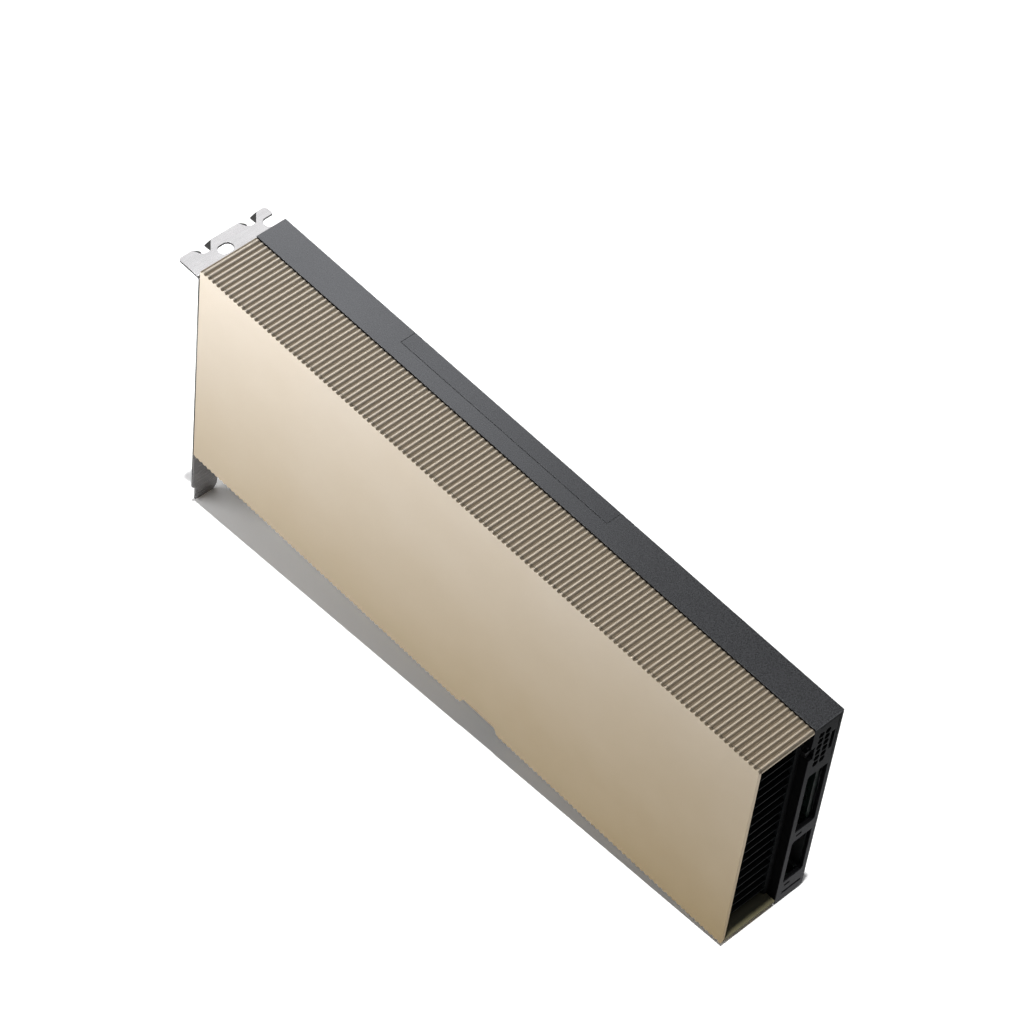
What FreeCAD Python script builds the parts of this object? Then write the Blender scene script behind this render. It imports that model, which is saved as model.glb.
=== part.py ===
import FreeCAD, Part
import os
import re

import Sketcher
from FreeCAD import Vector

# A double-slot, full-height, passive accelerator card, upright as it sits in its slot.
# Every piece is drawn in the cooler's own axes: X runs from the inner face of the bracket
# to the rear end, Y from the front face to the back, Z up from the cooler's bottom edge.
# One placement then moves all of them to the part's frame, whose origin lies on the
# underside of the bracket's fold, on its screw line and half way across its width.

DIMENSIONS = [
    ("overcut", 1.0, "how far a cut passes the surface that it opens"),
    # Whole card
    ("cooler_length", 266.84, "inner face of the bracket to the rear end"),
    ("cooler_height", 97.83, "bottom to top of the cooler"),
    ("cooler_depth", 38.0, "front face to back face"),
    ("card_height", 111.15, "bottom of the edge contacts to the top"),
    ("top_rise", 4.17, "top of the cooler above the bracket's fold"),
    # Bracket
    ("bracket_sheet", 0.86, "sheet thickness"),
    ("bracket_height", 120.02, "top of the fold to the tip of the feet"),
    ("shoulder_height", 112.75, "top of the fold to the shoulders beside the feet"),
    ("bracket_width", 38.74, "width of the plate and the fold"),
    ("bracket_inset", 0.2, "front face of the cooler to the bracket's edge"),
    ("fold_depth", 11.43, "inner face of the plate to the fold's edge"),
    ("bend_radius", 0.5, "inner radius of the bend"),
    ("foot_width", 10.19, "width of a foot"),
    ("foot_inset", 1.5, "edge of the plate to the first foot"),
    ("foot_taper", 1.0, "chamfer of a foot's tip"),
    ("shoulder_taper_y", 1.0, "plate's lower corners, across"),
    ("shoulder_taper_z", 2.6, "plate's lower corners, upwards"),
    ("slot_pitch", 20.32, "distance between neighbouring slots"),
    ("slot_count", 2, "number of slots that the bracket covers"),
    ("screw_line", 5.08, "inner face of the plate to the screw slots"),
    ("screw_slot_width", 4.42, "width of a screw slot"),
    ("screw_slot_length", 6.1, "length of the closed screw slot"),
    ("screw_slot_start", 12.65, "edge of the fold to the first screw slot"),
    ("screw_slot_corner", 1.6, "corner radius of a screw slot"),
    ("lead_notch_start", 6.2, "edge of the fold to the first lead-in notch"),
    ("lead_notch_slant", 1.5, "slant of the notch's near side"),
    ("lead_notch_corner", 0.8, "blunted inner corner of the notch"),
    ("lead_notch_mouth", 4.9, "width of the notch at the edge"),
    ("lead_notch_depth", 3.8, "depth of the notch"),
    ("vent_length", 14.4, "length of a bracket vent"),
    ("vent_width", 2.9, "width of a bracket vent"),
    ("vent_rise", 4.6, "distance between vent rows"),
    ("vent_rows", 17, "number of vent rows"),
    ("vent_columns", 2, "number of vent columns"),
    ("vent_side", 3.4, "edge of the plate to the first vent"),
    ("vent_gap", 2.6, "bar between the two vent columns"),
    ("vent_lowest", 9.0, "bottom of the cooler to the middle of the lowest vent"),
    ("bracket_screw_side", 4.6, "back face of the cooler to the bracket's screws"),
    ("bracket_screw_inset", 5.0, "bottom of the cooler and the fold to the bracket's screws"),
    # Shroud
    ("shroud_depth", 24.85, "front face to the shroud's back edge"),
    ("front_wall", 1.2, "thickness of the flat front wall"),
    ("ribbed_wall", 1.9, "thickness of the ribbed walls over the ribs"),
    ("rib_pitch", 2.1675, "distance between grooves"),
    ("groove_first", 0.35, "inner face of the bracket to the first groove"),
    ("groove_depth", 0.75, "depth of a groove"),
    ("groove_mouth", 1.5, "width of a groove at its mouth"),
    ("notch_start", 139.6, "bracket to the notch in the lower edge"),
    ("notch_length", 19.0, "length of that notch at the edge"),
    ("notch_rise", 3.1, "height of that notch"),
    ("notch_lead", 1.8, "slant of the notch's ends"),
    ("clip_length", 12.0, "length of a shroud tongue"),
    ("clip_thickness", 1.0, "thickness of a shroud tongue"),
    ("clip_reach", 4.2, "reach of a tongue into the frame"),
    ("clip_root", 1.6, "overlap of a tongue with its wall"),
    ("clip_pitch", 56.0, "distance between tongues"),
    ("clip_count", 5, "number of tongues on a wall"),
    ("clip_first", 16.0, "bracket to the first tongue"),
    ("fit_gap", 0.15, "clearance round a tongue, a cover or a latch"),
    # Frame
    ("seam_gap", 0.25, "gap between shroud and frame"),
    ("deck", 1.7, "thickness of the frame's deck"),
    ("rim", 2.8, "thickness of the frame's top, bottom and bracket end walls"),
    ("exhaust_low", 10.0, "bottom of the cooler to the frame's exhaust port"),
    ("exhaust_height", 74.0, "height of the exhaust port"),
    ("exhaust_width", 8.4, "width of the exhaust port"),
    ("exhaust_side", 0.5, "deck to the exhaust port"),
    ("end_wall", 1.5, "thickness of the rear end plate"),
    ("window_start", 34.0, "bracket to the deck's window"),
    ("window_length", 196.0, "length of that window"),
    ("window_height", 68.0, "height of that window"),
    ("boss_diameter", 5.2, "boss that carries the board"),
    ("boss_inset_x", 7.5, "ends of the board to the outer bosses"),
    ("boss_inset_top", 9.0, "top edge of the board to the upper bosses"),
    ("boss_inset_bottom", 5.5, "bottom edge of the board to the lower bosses"),
    ("boss_columns", 4, "bosses along the board"),
    # Rear end plate
    ("port_side", 27.0, "front face to the plate's openings"),
    ("port_width", 9.2, "width of the openings"),
    ("air_port_bottom", 39.2, "bottom of the cooler to the upper opening"),
    ("air_port_height", 31.4, "height of the upper opening"),
    ("power_port_bottom", 10.4, "bottom of the cooler to the lower opening"),
    ("power_port_height", 23.3, "height of the lower opening"),
    ("port_chamfer", 0.9, "corner chamfer of the openings"),
    ("grille_side", 29.0, "front face to the first column of grille holes"),
    ("grille_lowest", 76.5, "bottom of the cooler to the lowest grille hole"),
    ("grille_pitch_y", 3.05, "distance between grille columns"),
    ("grille_pitch_z", 3.08, "distance between grille rows"),
    ("grille_rows", 6, "number of grille rows"),
    ("grille_columns", 2, "number of grille columns"),
    ("grille_hole_width", 2.75, "width of a grille hole between its two points"),
    ("grille_hole_height", 2.65, "height of a grille hole"),
    ("grille_hole_flat", 1.7, "length of a grille hole's lower and upper sides"),
    ("tall_slot_side", 34.0, "front face to the tall slot beside the grille"),
    ("tall_slot_width", 1.8, "width of the tall slot"),
    ("tall_slot_bottom", 79.9, "bottom of the cooler to the tall slot"),
    ("tall_slot_height", 9.5, "height of the tall slot"),
    ("bar_slot_side", 28.1, "front face to the two small slots"),
    ("bar_slot_width", 2.7, "length of the two small slots"),
    ("bar_slot_height", 1.1, "height of the small slots"),
    ("bar_slot_bottom", 36.0, "bottom of the cooler to the small slot in the cross bar"),
    ("low_slot_bottom", 7.3, "bottom of the cooler to the small slot in the lower bar"),
    ("foot_slot_side", 27.6, "front face to the long slot at the bottom"),
    ("foot_slot_width", 9.0, "length of the long slot"),
    ("foot_slot_height", 1.2, "height of the long slot"),
    ("foot_slot_bottom", 3.3, "bottom of the cooler to the long slot"),
    ("latch_bottom", 80.9, "bottom of the cooler to the latch notch"),
    ("latch_height", 6.3, "height of the latch notch"),
    ("latch_depth", 1.9, "depth of the latch notch"),
    ("latch_length", 5.0, "length of the latch along the card"),
    ("latch_nose_reach", 1.2, "reach of the latch's nose in front of its body"),
    ("latch_nose_height", 1.26, "height of the nose"),
    ("latch_nose_length", 1.5, "length of the nose along the card"),
    ("latch_nose_inset", 1.0, "rear end of the card to the nose"),
    ("panel_line", 0.35, "width and depth of the line round the grille panel"),
    ("panel_inset", 1.5, "edge of the plate to that line"),
    ("panel_side", 27.6, "front face to the start of that line"),
    ("panel_bottom", 74.2, "bottom of the cooler to the end of that line"),
    # Bridge port cover
    ("cover_start", 66.2, "bracket to the bridge port cover"),
    ("cover_length", 99.4, "length of the cover"),
    ("cover_width", 6.5, "width of the cover from the back face"),
    ("cover_sheet", 1.2, "thickness of the cover"),
    ("cover_ledge", 1.4, "width of the ledge under the cover"),
    ("cover_skirt", 4.6, "depth of the cover's two end skirts"),
    # Heatsink
    ("base_front", 23.3, "front face to the heatsink's base"),
    ("base_start", 4.0, "bracket to the heatsink"),
    ("base_setback", 3.94, "rear end of the card to the heatsink"),
    ("base_side", 2.2, "bottom and top of the cooler to the base"),
    ("base_corner", 1.0, "rounding of the base's rear edge"),
    ("pedestal_length", 62.0, "processor pedestal along X"),
    ("pedestal_height", 66.0, "processor pedestal along Z"),
    ("power_step", 6.7, "height of the base's step over the power parts"),
    ("fin_floor", 0.5, "floor of the fin stack"),
    ("fin_thickness", 0.5, "thickness of a fin"),
    ("fin_pitch", 5.03, "distance between fins"),
    ("fin_count", 18, "number of fins"),
    ("fin_lowest", 6.35, "bottom of the cooler to the lowest fin"),
    ("fin_clearance", 0.3, "gap between the fins and the front wall"),
    # Board
    ("board_thickness", 1.57, "thickness of the board"),
    ("back_side_room", 2.67, "back of the board to the back face"),
    ("board_gap", 0.4, "gap between board and frame"),
    ("finger_start", 52.0, "bracket to the card-edge tongue"),
    ("finger_short", 11.65, "tongue before the key notch"),
    ("key_width", 1.9, "width of the key notch"),
    ("key_depth", 8.25, "depth of the key notch"),
    ("finger_long", 71.65, "tongue after the key notch"),
    ("finger_chamfer", 0.5, "corner chamfer of the tongue"),
    ("finger_shoulder", 8.0, "bottom of the tongue to the board's lower edge beside it"),
    ("hook_gap", 4.2, "gap between tongue and retention hook"),
    ("hook_length", 6.0, "length of the retention hook"),
    ("hook_drop", 5.4, "bottom of the tongue to the bottom of the hook"),
    ("hook_slant", 1.0, "rise of the hook's lower edge towards the rear"),
    ("contact_pitch", 1.0, "distance between contacts"),
    ("contact_width", 0.7, "width of a contact"),
    ("contact_height", 3.6, "height of a contact"),
    ("contact_layer", 0.05, "thickness of a contact"),
    ("contact_inset", 0.8, "tongue edges to the contacts"),
    ("contacts_short", 11, "contacts before the key notch"),
    ("contacts_long", 71, "contacts after the key notch"),
    ("bridge_first", 71.0, "bracket to the first bridge tongue"),
    ("bridge_width", 22.0, "width of a bridge tongue"),
    ("bridge_pitch", 33.5, "distance between bridge tongues"),
    ("bridge_count", 3, "number of bridge tongues"),
    ("bridge_rise", 5.6, "height of a bridge tongue above the gap between them"),
    ("bridge_contacts_count", 13, "contacts on a bridge tongue"),
    ("bridge_contact_pitch", 1.6, "distance between bridge contacts"),
    # Processor
    ("processor_x", 124.0, "bracket to the middle of the processor"),
    ("processor_z", 48.9, "bottom of the cooler to the middle of the processor"),
    ("substrate_side", 55.0, "side of the substrate"),
    ("substrate_thickness", 1.9, "height of the substrate on its solder"),
    ("stiffener_width", 4.5, "width of the stiffener ring"),
    ("stiffener_thickness", 0.7, "thickness of the ring"),
    ("die_width", 26.0, "die along X"),
    ("die_height", 32.0, "die along Z"),
    ("die_thickness", 0.8, "height of the die"),
    ("memory_width", 7.8, "memory stack along X"),
    ("memory_height", 10.2, "memory stack along Z"),
    ("memory_gap", 0.5, "gap between die and memory, and between stacks"),
    ("memory_count", 3, "memory stacks in a column"),
    ("paste_gap", 0.1, "heat-conducting layer under the pedestal"),
    # Power parts and chips
    ("inductor_side", 7.0, "side of an inductor"),
    ("inductor_height", 4.6, "height of an inductor"),
    ("inductor_pitch", 9.2, "distance between inductors"),
    ("inductor_count", 7, "inductors in a column"),
    ("inductor_offset", 49.0, "middle of the processor to the inductors"),
    ("stage_length", 5.0, "power stage along X"),
    ("stage_width", 6.0, "power stage along Z"),
    ("stage_height", 0.9, "height of a power stage"),
    ("stage_offset", 61.0, "middle of the processor to the power stages"),
    ("capacitor_diameter", 5.0, "diameter of a capacitor"),
    ("capacitor_height", 4.8, "height of a capacitor"),
    ("capacitor_offset", 70.0, "middle of the processor to the capacitors"),
    ("chip_side", 9.0, "side of a controller chip"),
    ("chip_height", 1.1, "height of a controller chip"),
    ("chip_start", 22.0, "bracket to the controller chips"),
    ("chip_pitch", 24.0, "distance between controller chips"),
    ("chip_count", 3, "number of controller chips"),
    # Power connector
    ("socket_length", 15.0, "housing along X"),
    ("socket_width", 8.8, "housing along Y"),
    ("socket_height", 18.0, "housing along Z"),
    ("socket_setback", 12.0, "rear end of the card to the housing"),
    ("ear_length", 4.0, "mounting ear along X"),
    ("ear_reach", 2.6, "mounting ear beside the housing"),
    ("ear_thickness", 1.6, "thickness of a mounting ear"),
    ("plug_room", 1.7, "room for a plug in the board, below and above the housing"),
    ("socket_pitch", 4.2, "distance between ways"),
    ("way_rows", 4, "rows of ways"),
    ("way_columns", 2, "columns of ways"),
    ("socket_cavity", 3.3, "side of a way"),
    ("socket_depth", 11.0, "depth of a way"),
    ("pin_side", 1.0, "side of a terminal"),
    ("pin_length", 7.5, "length of a terminal in its way"),
    # Back
    ("backplate_sheet", 1.2, "thickness of the backplate"),
    ("backplate_gap", 0.2, "gap round the backplate"),
    ("retention_sheet", 0.9, "thickness of the retention plate"),
    ("retention_arm", 9.0, "width of the retention plate's arms"),
    ("spring_screw_spread", 46.0, "distance between the heatsink's screws along X"),
    ("spring_screw_rise", 58.0, "distance between the heatsink's screws along Z"),
    ("spring_screw_inset", 3.0, "front of the frame to the tips of those screws"),
    ("spring_head_gap", 0.12, "gap between their heads and the backplate"),
    # Screws
    ("screw_shank", 2.0, "shank of a small screw"),
    ("thread_gap", 0.05, "clearance round a shank in its bore"),
    ("hole_gap", 0.15, "clearance round a shank in a plain hole"),
    ("screw_head", 3.8, "head of a small screw"),
    ("screw_head_height", 1.0, "height of a small screw's head"),
    ("boss_thread", 3.0, "length of a backplate screw in its boss"),
    ("bracket_screw_head", 5.2, "head of a bracket screw"),
    ("bracket_screw_length", 2.0, "shank of a bracket screw"),
]
ALIASES = {alias for alias, _, _ in DIMENSIONS}

doc = FreeCAD.newDocument("accelerator_card")
sheet = doc.addObject("Spreadsheet::Sheet", "Dims")
for row, (alias, number, meaning) in enumerate(DIMENSIONS, 1):
    sheet.set(f"A{row}", meaning)
    sheet.set(f"B{row}", str(number))
    sheet.setAlias(f"B{row}", alias)
doc.recompute()

# Levels that several pieces share, as expressions of the named dimensions.
SHELF = "(cooler_height - top_rise - bracket_sheet)"
FRAME_FRONT = "(shroud_depth + seam_gap)"
DECK_BACK = f"({FRAME_FRONT} + deck)"
BOARD_BACK = "(cooler_depth - back_side_room)"
BOARD_FRONT = f"({BOARD_BACK} - board_thickness)"
BOARD_START = "(rim + board_gap)"
BOARD_END = "(cooler_length - end_wall - board_gap)"
BOARD_BOTTOM = "(rim + board_gap)"
BOARD_TOP = "(cooler_height - rim - board_gap)"
FINGER_BOTTOM = "(cooler_height - card_height)"
FINGER_END = "(finger_start + finger_short + key_width + finger_long)"
HEATSINK_LENGTH = "(cooler_length - base_start - base_setback)"
BACKPLATE_FRONT = "(cooler_depth - backplate_sheet)"
COVER_FRONT = "(cooler_depth - cover_width)"
SPRING_SCREW_TIP = f"({FRAME_FRONT} + spring_screw_inset)"
SOCKET_BACK = "(cooler_length - socket_setback)"
SOCKET_FRONT = "(port_side + (port_width - socket_width) / 2)"
SOCKET_BOTTOM = "(power_port_bottom + (power_port_height - socket_height) / 2)"

PLACEMENT = {
    "x": "screw_line",
    "y": "-(bracket_inset + bracket_width / 2)",
    "z": f"-{SHELF}",
}
NORMAL_SIGN = {"XY_Plane": 1, "XZ_Plane": -1, "YZ_Plane": 1}

pieces = []


def bound(expression):
    """The expression with every named dimension read from the sheet."""
    return re.sub(r"[a-z_]\w*", lambda word: f"Dims.{word[0]}" if word[0] in ALIASES else word[0],
                  str(expression))


def size(alias):
    """The number that the sheet holds under this name."""
    return float(sheet.get(alias))


def origin_feature(body, role):
    """One of the body's own origin planes or axes."""
    return next(item for item in body.Origin.OriginFeatures if item.Role == role)


def new_body(label, solids_apart=False):
    """An empty body that takes its place in the card's frame."""
    body = doc.addObject("PartDesign::Body", label)
    body.Label = label
    body.AllowCompound = solids_apart
    for axis, expression in PLACEMENT.items():
        body.setExpression(f"Placement.Base.{axis}", bound(expression))
    pieces.append(body)
    return body


def new_sketch(body, name, plane, start):
    """A sketch on one of the body's planes, shifted along that plane's axis to start."""
    sketch = body.newObject("Sketcher::SketchObject", name)
    sketch.AttachmentSupport = [(origin_feature(body, plane), "")]
    sketch.MapMode = "FlatFace"
    shift = start if NORMAL_SIGN[plane] > 0 else f"-({start})"
    sketch.setExpression("AttachmentOffset.Base.z", bound(shift))
    return sketch


def pin_point(sketch, geometry, position, across, up):
    """Ties one point of the sketch to the origin by two named distances."""
    for kind, expression in (("DistanceX", across), ("DistanceY", up)):
        index = sketch.addConstraint(Sketcher.Constraint(kind, -1, 1, geometry, position, 1.0))
        sketch.setExpression(f"Constraints[{index}]", bound(expression))


def polygon(body, name, plane, start, corners):
    """A closed outline through the corners, each given as two expressions."""
    sketch = new_sketch(body, name, plane, start)
    count = len(corners)
    rough = [Vector(10 + index, index * (count - index), 0) for index in range(count)]
    lines = [Part.LineSegment(rough[index], rough[(index + 1) % count]) for index in range(count)]
    sketch.addGeometry(lines, False)
    sketch.addConstraint([Sketcher.Constraint("Coincident", index, 2, (index + 1) % count, 1)
                          for index in range(count)])
    for index, (across, up) in enumerate(corners):
        pin_point(sketch, index, 1, across, up)
    return sketch


def rectangle(body, name, plane, start, low, span):
    """A rectangle from its lowest corner and its two sides."""
    across, up = low
    wide, tall = span
    right, top = f"({across}) + ({wide})", f"({up}) + ({tall})"
    return polygon(body, name, plane, start,
                   [(across, up), (right, up), (right, top), (across, top)])


def circles(body, name, plane, start, diameter, centres):
    """Circles of one diameter, each centre given as two expressions."""
    sketch = new_sketch(body, name, plane, start)
    for index, (across, up) in enumerate(centres):
        sketch.addGeometry(Part.Circle(Vector(20 * index, 5, 0), Vector(0, 0, 1), 1.0), False)
        pin_point(sketch, index, 3, across, up)
        radius = sketch.addConstraint(Sketcher.Constraint("Diameter", index, 2.0))
        sketch.setExpression(f"Constraints[{radius}]", bound(diameter))
    return sketch


def grow(body, sketch, length):
    """Adds material from the sketch's plane towards higher X, Y or Z."""
    pad = body.newObject("PartDesign::Pad", f"{sketch.Name}_pad")
    pad.Profile = sketch
    pad.Reversed = "XZ_Plane" in sketch.AttachmentSupport[0][0].Role
    pad.setExpression("Length", bound(length))
    return pad


def cut(body, sketch, length):
    """Removes material from the sketch's plane towards higher X, Y or Z."""
    pocket = body.newObject("PartDesign::Pocket", f"{sketch.Name}_cut")
    pocket.Profile = sketch
    pocket.Reversed = "XZ_Plane" not in sketch.AttachmentSupport[0][0].Role
    pocket.setExpression("Length", bound(length))
    return pocket


def repeat(body, features, axis, pitch, count):
    """A row of copies of one feature, or of several, along X, Y or Z."""
    originals = features if isinstance(features, list) else [features]
    pattern = body.newObject("PartDesign::LinearPattern", f"{originals[-1].Name}_row")
    pattern.Originals = originals
    pattern.Direction = (origin_feature(body, f"{axis}_Axis"), [""])
    pattern.Mode = "Spacing"
    pattern.setExpression("Offset", bound(pitch))
    pattern.setExpression("Occurrences", bound(count))
    body.Tip = pattern
    return pattern


def repeat_grid(body, feature, first, second):
    """Rows and columns of one feature; first and second are axis, pitch and count."""
    grid = body.newObject("PartDesign::MultiTransform", f"{feature.Name}_grid")
    grid.Originals = [feature]
    steps = []
    for axis, pitch, count in (first, second):
        step = body.newObject("PartDesign::LinearPattern", f"{feature.Name}_{axis}_step")
        step.Direction = (origin_feature(body, f"{axis}_Axis"), [""])
        step.Mode = "Spacing"
        step.setExpression("Offset", bound(pitch))
        step.setExpression("Occurrences", bound(count))
        steps.append(step)
    grid.Transformations = steps
    body.Tip = grid
    return grid


def soften(body, feature, radius, wanted, kind="Fillet"):
    """Rounds or chamfers the edges for which wanted(edge) is true."""
    doc.recompute()
    names = [f"Edge{number}" for number, edge in enumerate(feature.Shape.Edges, 1) if wanted(edge)]
    edge_feature = body.newObject(f"PartDesign::{kind}", f"{feature.Name}_{kind}")
    edge_feature.Base = (feature, names)
    edge_feature.setExpression("Radius" if kind == "Fillet" else "Size", bound(radius))
    return edge_feature


def runs_along(edge, axis):
    """True for a straight edge along X, Y or Z."""
    if edge.Curve.TypeId != "Part::GeomLine":
        return False
    direction = edge.tangentAt(edge.FirstParameter)
    return abs(abs(getattr(direction, axis.lower())) - 1) < 1e-6


# Shroud: one folded channel, flat in front and ribbed above and below
def make_shroud():
    body = new_body("cooler_shroud")
    outer = rectangle(body, "shroud_block", "XZ_Plane", "0", ("0", "0"),
                      ("cooler_length", "cooler_height"))
    grow(body, outer, "shroud_depth")
    inside = rectangle(body, "air_channel", "XZ_Plane", "front_wall", ("-overcut", "ribbed_wall"),
                       ("cooler_length + 2 * overcut", "cooler_height - 2 * ribbed_wall"))
    cut(body, inside, "shroud_depth")
    for side, level in (("top", "cooler_height - ribbed_wall"),
                        ("bottom", "ribbed_wall - clip_thickness")):
        tongue = rectangle(body, f"{side}_tongue", "XZ_Plane", "shroud_depth - clip_root",
                           ("clip_first", level), ("clip_length", "clip_thickness"))
        repeat(body, grow(body, tongue, "clip_root + clip_reach"), "X", "clip_pitch", "clip_count")
    notch = polygon(body, "lower_notch", "XZ_Plane", "-overcut", [
        ("notch_start", "-overcut"), ("notch_start + notch_length", "-overcut"),
        ("notch_start + notch_length", "0"),
        ("notch_start + notch_length - notch_lead", "notch_rise"),
        ("notch_start + notch_lead", "notch_rise"), ("notch_start", "0")])
    cut(body, notch, "shroud_depth + 2 * overcut")
    grooves = []
    for side, mouth, floor in (("top", "cooler_height", "cooler_height - groove_depth"),
                               ("bottom", "0", "groove_depth")):
        groove = polygon(body, f"{side}_groove", "XZ_Plane", "-overcut", [
            ("groove_first - groove_mouth / 2", mouth), ("groove_first + groove_mouth / 2", mouth),
            ("groove_first", floor)])
        grooves.append(cut(body, groove, "shroud_depth + 2 * overcut"))
    repeat(body, grooves, "X", "rib_pitch",
           "floor((cooler_length - groove_first) / rib_pitch) + 1")


# Frame: deck, rim and rear end plate, cast as one
def make_frame():
    body = new_body("mid_frame")
    block = rectangle(body, "frame_block", "XZ_Plane", FRAME_FRONT, ("0", "0"),
                      ("cooler_length", "cooler_height"))
    grow(body, block, f"cooler_depth - {FRAME_FRONT}")
    room = rectangle(body, "board_room", "XZ_Plane", DECK_BACK, ("rim", "rim"),
                     ("cooler_length - rim - end_wall", "cooler_height - 2 * rim"))
    cut(body, room, "cooler_depth")
    window = rectangle(body, "deck_window", "XZ_Plane", "shroud_depth",
                       ("window_start", "(cooler_height - window_height) / 2"),
                       ("window_length", "window_height"))
    cut(body, window, "deck + overcut")
    seat = rectangle(body, "cover_seat", "XY_Plane", "cooler_height - cover_sheet",
                     ("cover_start - fit_gap", f"{COVER_FRONT} - fit_gap"),
                     ("cover_length + 2 * fit_gap", "cover_width + overcut"))
    cut(body, seat, "cover_sheet + overcut")
    port = rectangle(body, "bridge_port", "XY_Plane", "cooler_height - rim - overcut",
                     ("cover_start + cover_ledge", f"{COVER_FRONT} + cover_ledge"),
                     ("cover_length - 2 * cover_ledge",
                      f"{BACKPLATE_FRONT} - {COVER_FRONT} - 2 * cover_ledge"))
    cut(body, port, "rim + 2 * overcut")
    exhaust = rectangle(body, "exhaust_port", "YZ_Plane", "-overcut",
                        (f"{DECK_BACK} + exhaust_side", "exhaust_low"),
                        ("exhaust_width", "exhaust_height"))
    cut(body, exhaust, "rim + 2 * overcut")
    bores = circles(body, "bracket_screw_bores", "YZ_Plane", "-overcut",
                    "screw_shank + 2 * thread_gap", bracket_screw_centres())
    cut(body, bores, "bracket_screw_length + thread_gap + overcut")
    tongue = rectangle(body, "finger_port", "XY_Plane", "-overcut",
                       ("finger_start - board_gap", f"{BOARD_FRONT} - board_gap"),
                       (f"{FINGER_END} + hook_gap + hook_length + 2 * board_gap - finger_start",
                        "back_side_room + board_thickness + board_gap + overcut"))
    cut(body, tongue, "rim + 2 * overcut")
    make_frame_clip_slots(body)
    make_frame_bosses(body)
    make_end_plate(body)


def make_frame_clip_slots(body):
    """Slots in the deck and the rim that take the shroud's tongues."""
    levels = (("top", "cooler_height - ribbed_wall - fit_gap"),
              ("bottom", "ribbed_wall - clip_thickness - fit_gap"))
    for side, level in levels:
        slot = rectangle(body, f"{side}_clip_slot", "XZ_Plane", "shroud_depth",
                         ("clip_first - fit_gap", level),
                         ("clip_length + 2 * fit_gap", "clip_thickness + 2 * fit_gap"))
        repeat(body, cut(body, slot, "clip_reach + 2 * fit_gap"), "X", "clip_pitch", "clip_count")


def boss_centres():
    """Middles of the bosses that carry the board, as expressions."""
    count = int(size("boss_columns"))
    first = f"{BOARD_START} + boss_inset_x"
    span = f"({BOARD_END} - {BOARD_START} - 2 * boss_inset_x)"
    rows = (f"{BOARD_BOTTOM} + boss_inset_bottom", f"{BOARD_TOP} - boss_inset_top")
    return [(f"{first} + {span} * {column} / {count - 1}", row)
            for column in range(count) for row in rows]


def make_frame_bosses(body):
    bosses = circles(body, "bosses", "XZ_Plane", DECK_BACK, "boss_diameter", boss_centres())
    grow(body, bosses, f"{BOARD_FRONT} - {DECK_BACK}")
    bores = circles(body, "boss_bores", "XZ_Plane", DECK_BACK,
                    "screw_shank + 2 * thread_gap", boss_centres())
    cut(body, bores, f"{BOARD_FRONT} - {DECK_BACK} + overcut")


def make_end_plate(body):
    """Openings, grille, slots and the latch notch of the rear end plate."""
    plate = "cooler_length - end_wall"
    for name, low, tall in (("air_port", "air_port_bottom", "air_port_height"),
                            ("power_port", "power_port_bottom", "power_port_height")):
        left, right, top = "port_side", "port_side + port_width", f"{low} + {tall}"
        port = polygon(body, name, "YZ_Plane", f"{plate} - overcut", [
            (left, low), (f"{right} - port_chamfer", low), (right, f"{low} + port_chamfer"),
            (right, top), (f"{left} + port_chamfer", top), (left, f"{top} - port_chamfer")])
        cut(body, port, "end_wall + 2 * overcut")
    slots = (("tall_slot", "tall_slot_side", "tall_slot_bottom", "tall_slot_width", "tall_slot_height"),
             ("bar_slot", "bar_slot_side", "bar_slot_bottom", "bar_slot_width", "bar_slot_height"),
             ("low_slot", "bar_slot_side", "low_slot_bottom", "bar_slot_width", "bar_slot_height"),
             ("foot_slot", "foot_slot_side", "foot_slot_bottom", "foot_slot_width", "foot_slot_height"))
    for name, side, low, wide, tall in slots:
        slot = rectangle(body, name, "YZ_Plane", f"{plate} - overcut", (side, low), (wide, tall))
        cut(body, slot, "end_wall + 2 * overcut")
    hexagon = polygon(body, "grille_hole", "YZ_Plane", f"{plate} - overcut", grille_hole_corners())
    hole = cut(body, hexagon, "end_wall + 2 * overcut")
    repeat_grid(body, hole, ("Z", "grille_pitch_z", "grille_rows"),
                ("Y", "grille_pitch_y", "grille_columns"))
    notch = rectangle(body, "latch_seat", "YZ_Plane", f"{plate} - latch_length",
                      (f"{FRAME_FRONT} - overcut", "latch_bottom"),
                      ("latch_depth + overcut", "latch_height"))
    cut(body, notch, "end_wall + latch_length + overcut")
    outer, inner = "panel_inset", "panel_inset + panel_line"
    line = polygon(body, "panel_line", "YZ_Plane", "cooler_length - panel_line", [
        ("panel_side", f"cooler_height - {outer}"),
        (f"cooler_depth - {outer}", f"cooler_height - {outer}"),
        (f"cooler_depth - {outer}", "panel_bottom"),
        (f"cooler_depth - {inner}", "panel_bottom"),
        (f"cooler_depth - {inner}", f"cooler_height - {inner}"),
        ("panel_side", f"cooler_height - {inner}")])
    cut(body, line, "panel_line + overcut")


def grille_hole_corners():
    """Corners of the first grille hole, a hexagon with flat sides below and above."""
    left, right = "grille_side - grille_hole_width / 2", "grille_side + grille_hole_width / 2"
    near, far = "grille_side - grille_hole_flat / 2", "grille_side + grille_hole_flat / 2"
    low = "grille_lowest - grille_hole_height / 2"
    high = "grille_lowest + grille_hole_height / 2"
    return [(left, "grille_lowest"), (near, low), (far, low), (right, "grille_lowest"),
            (far, high), (near, high)]


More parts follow.
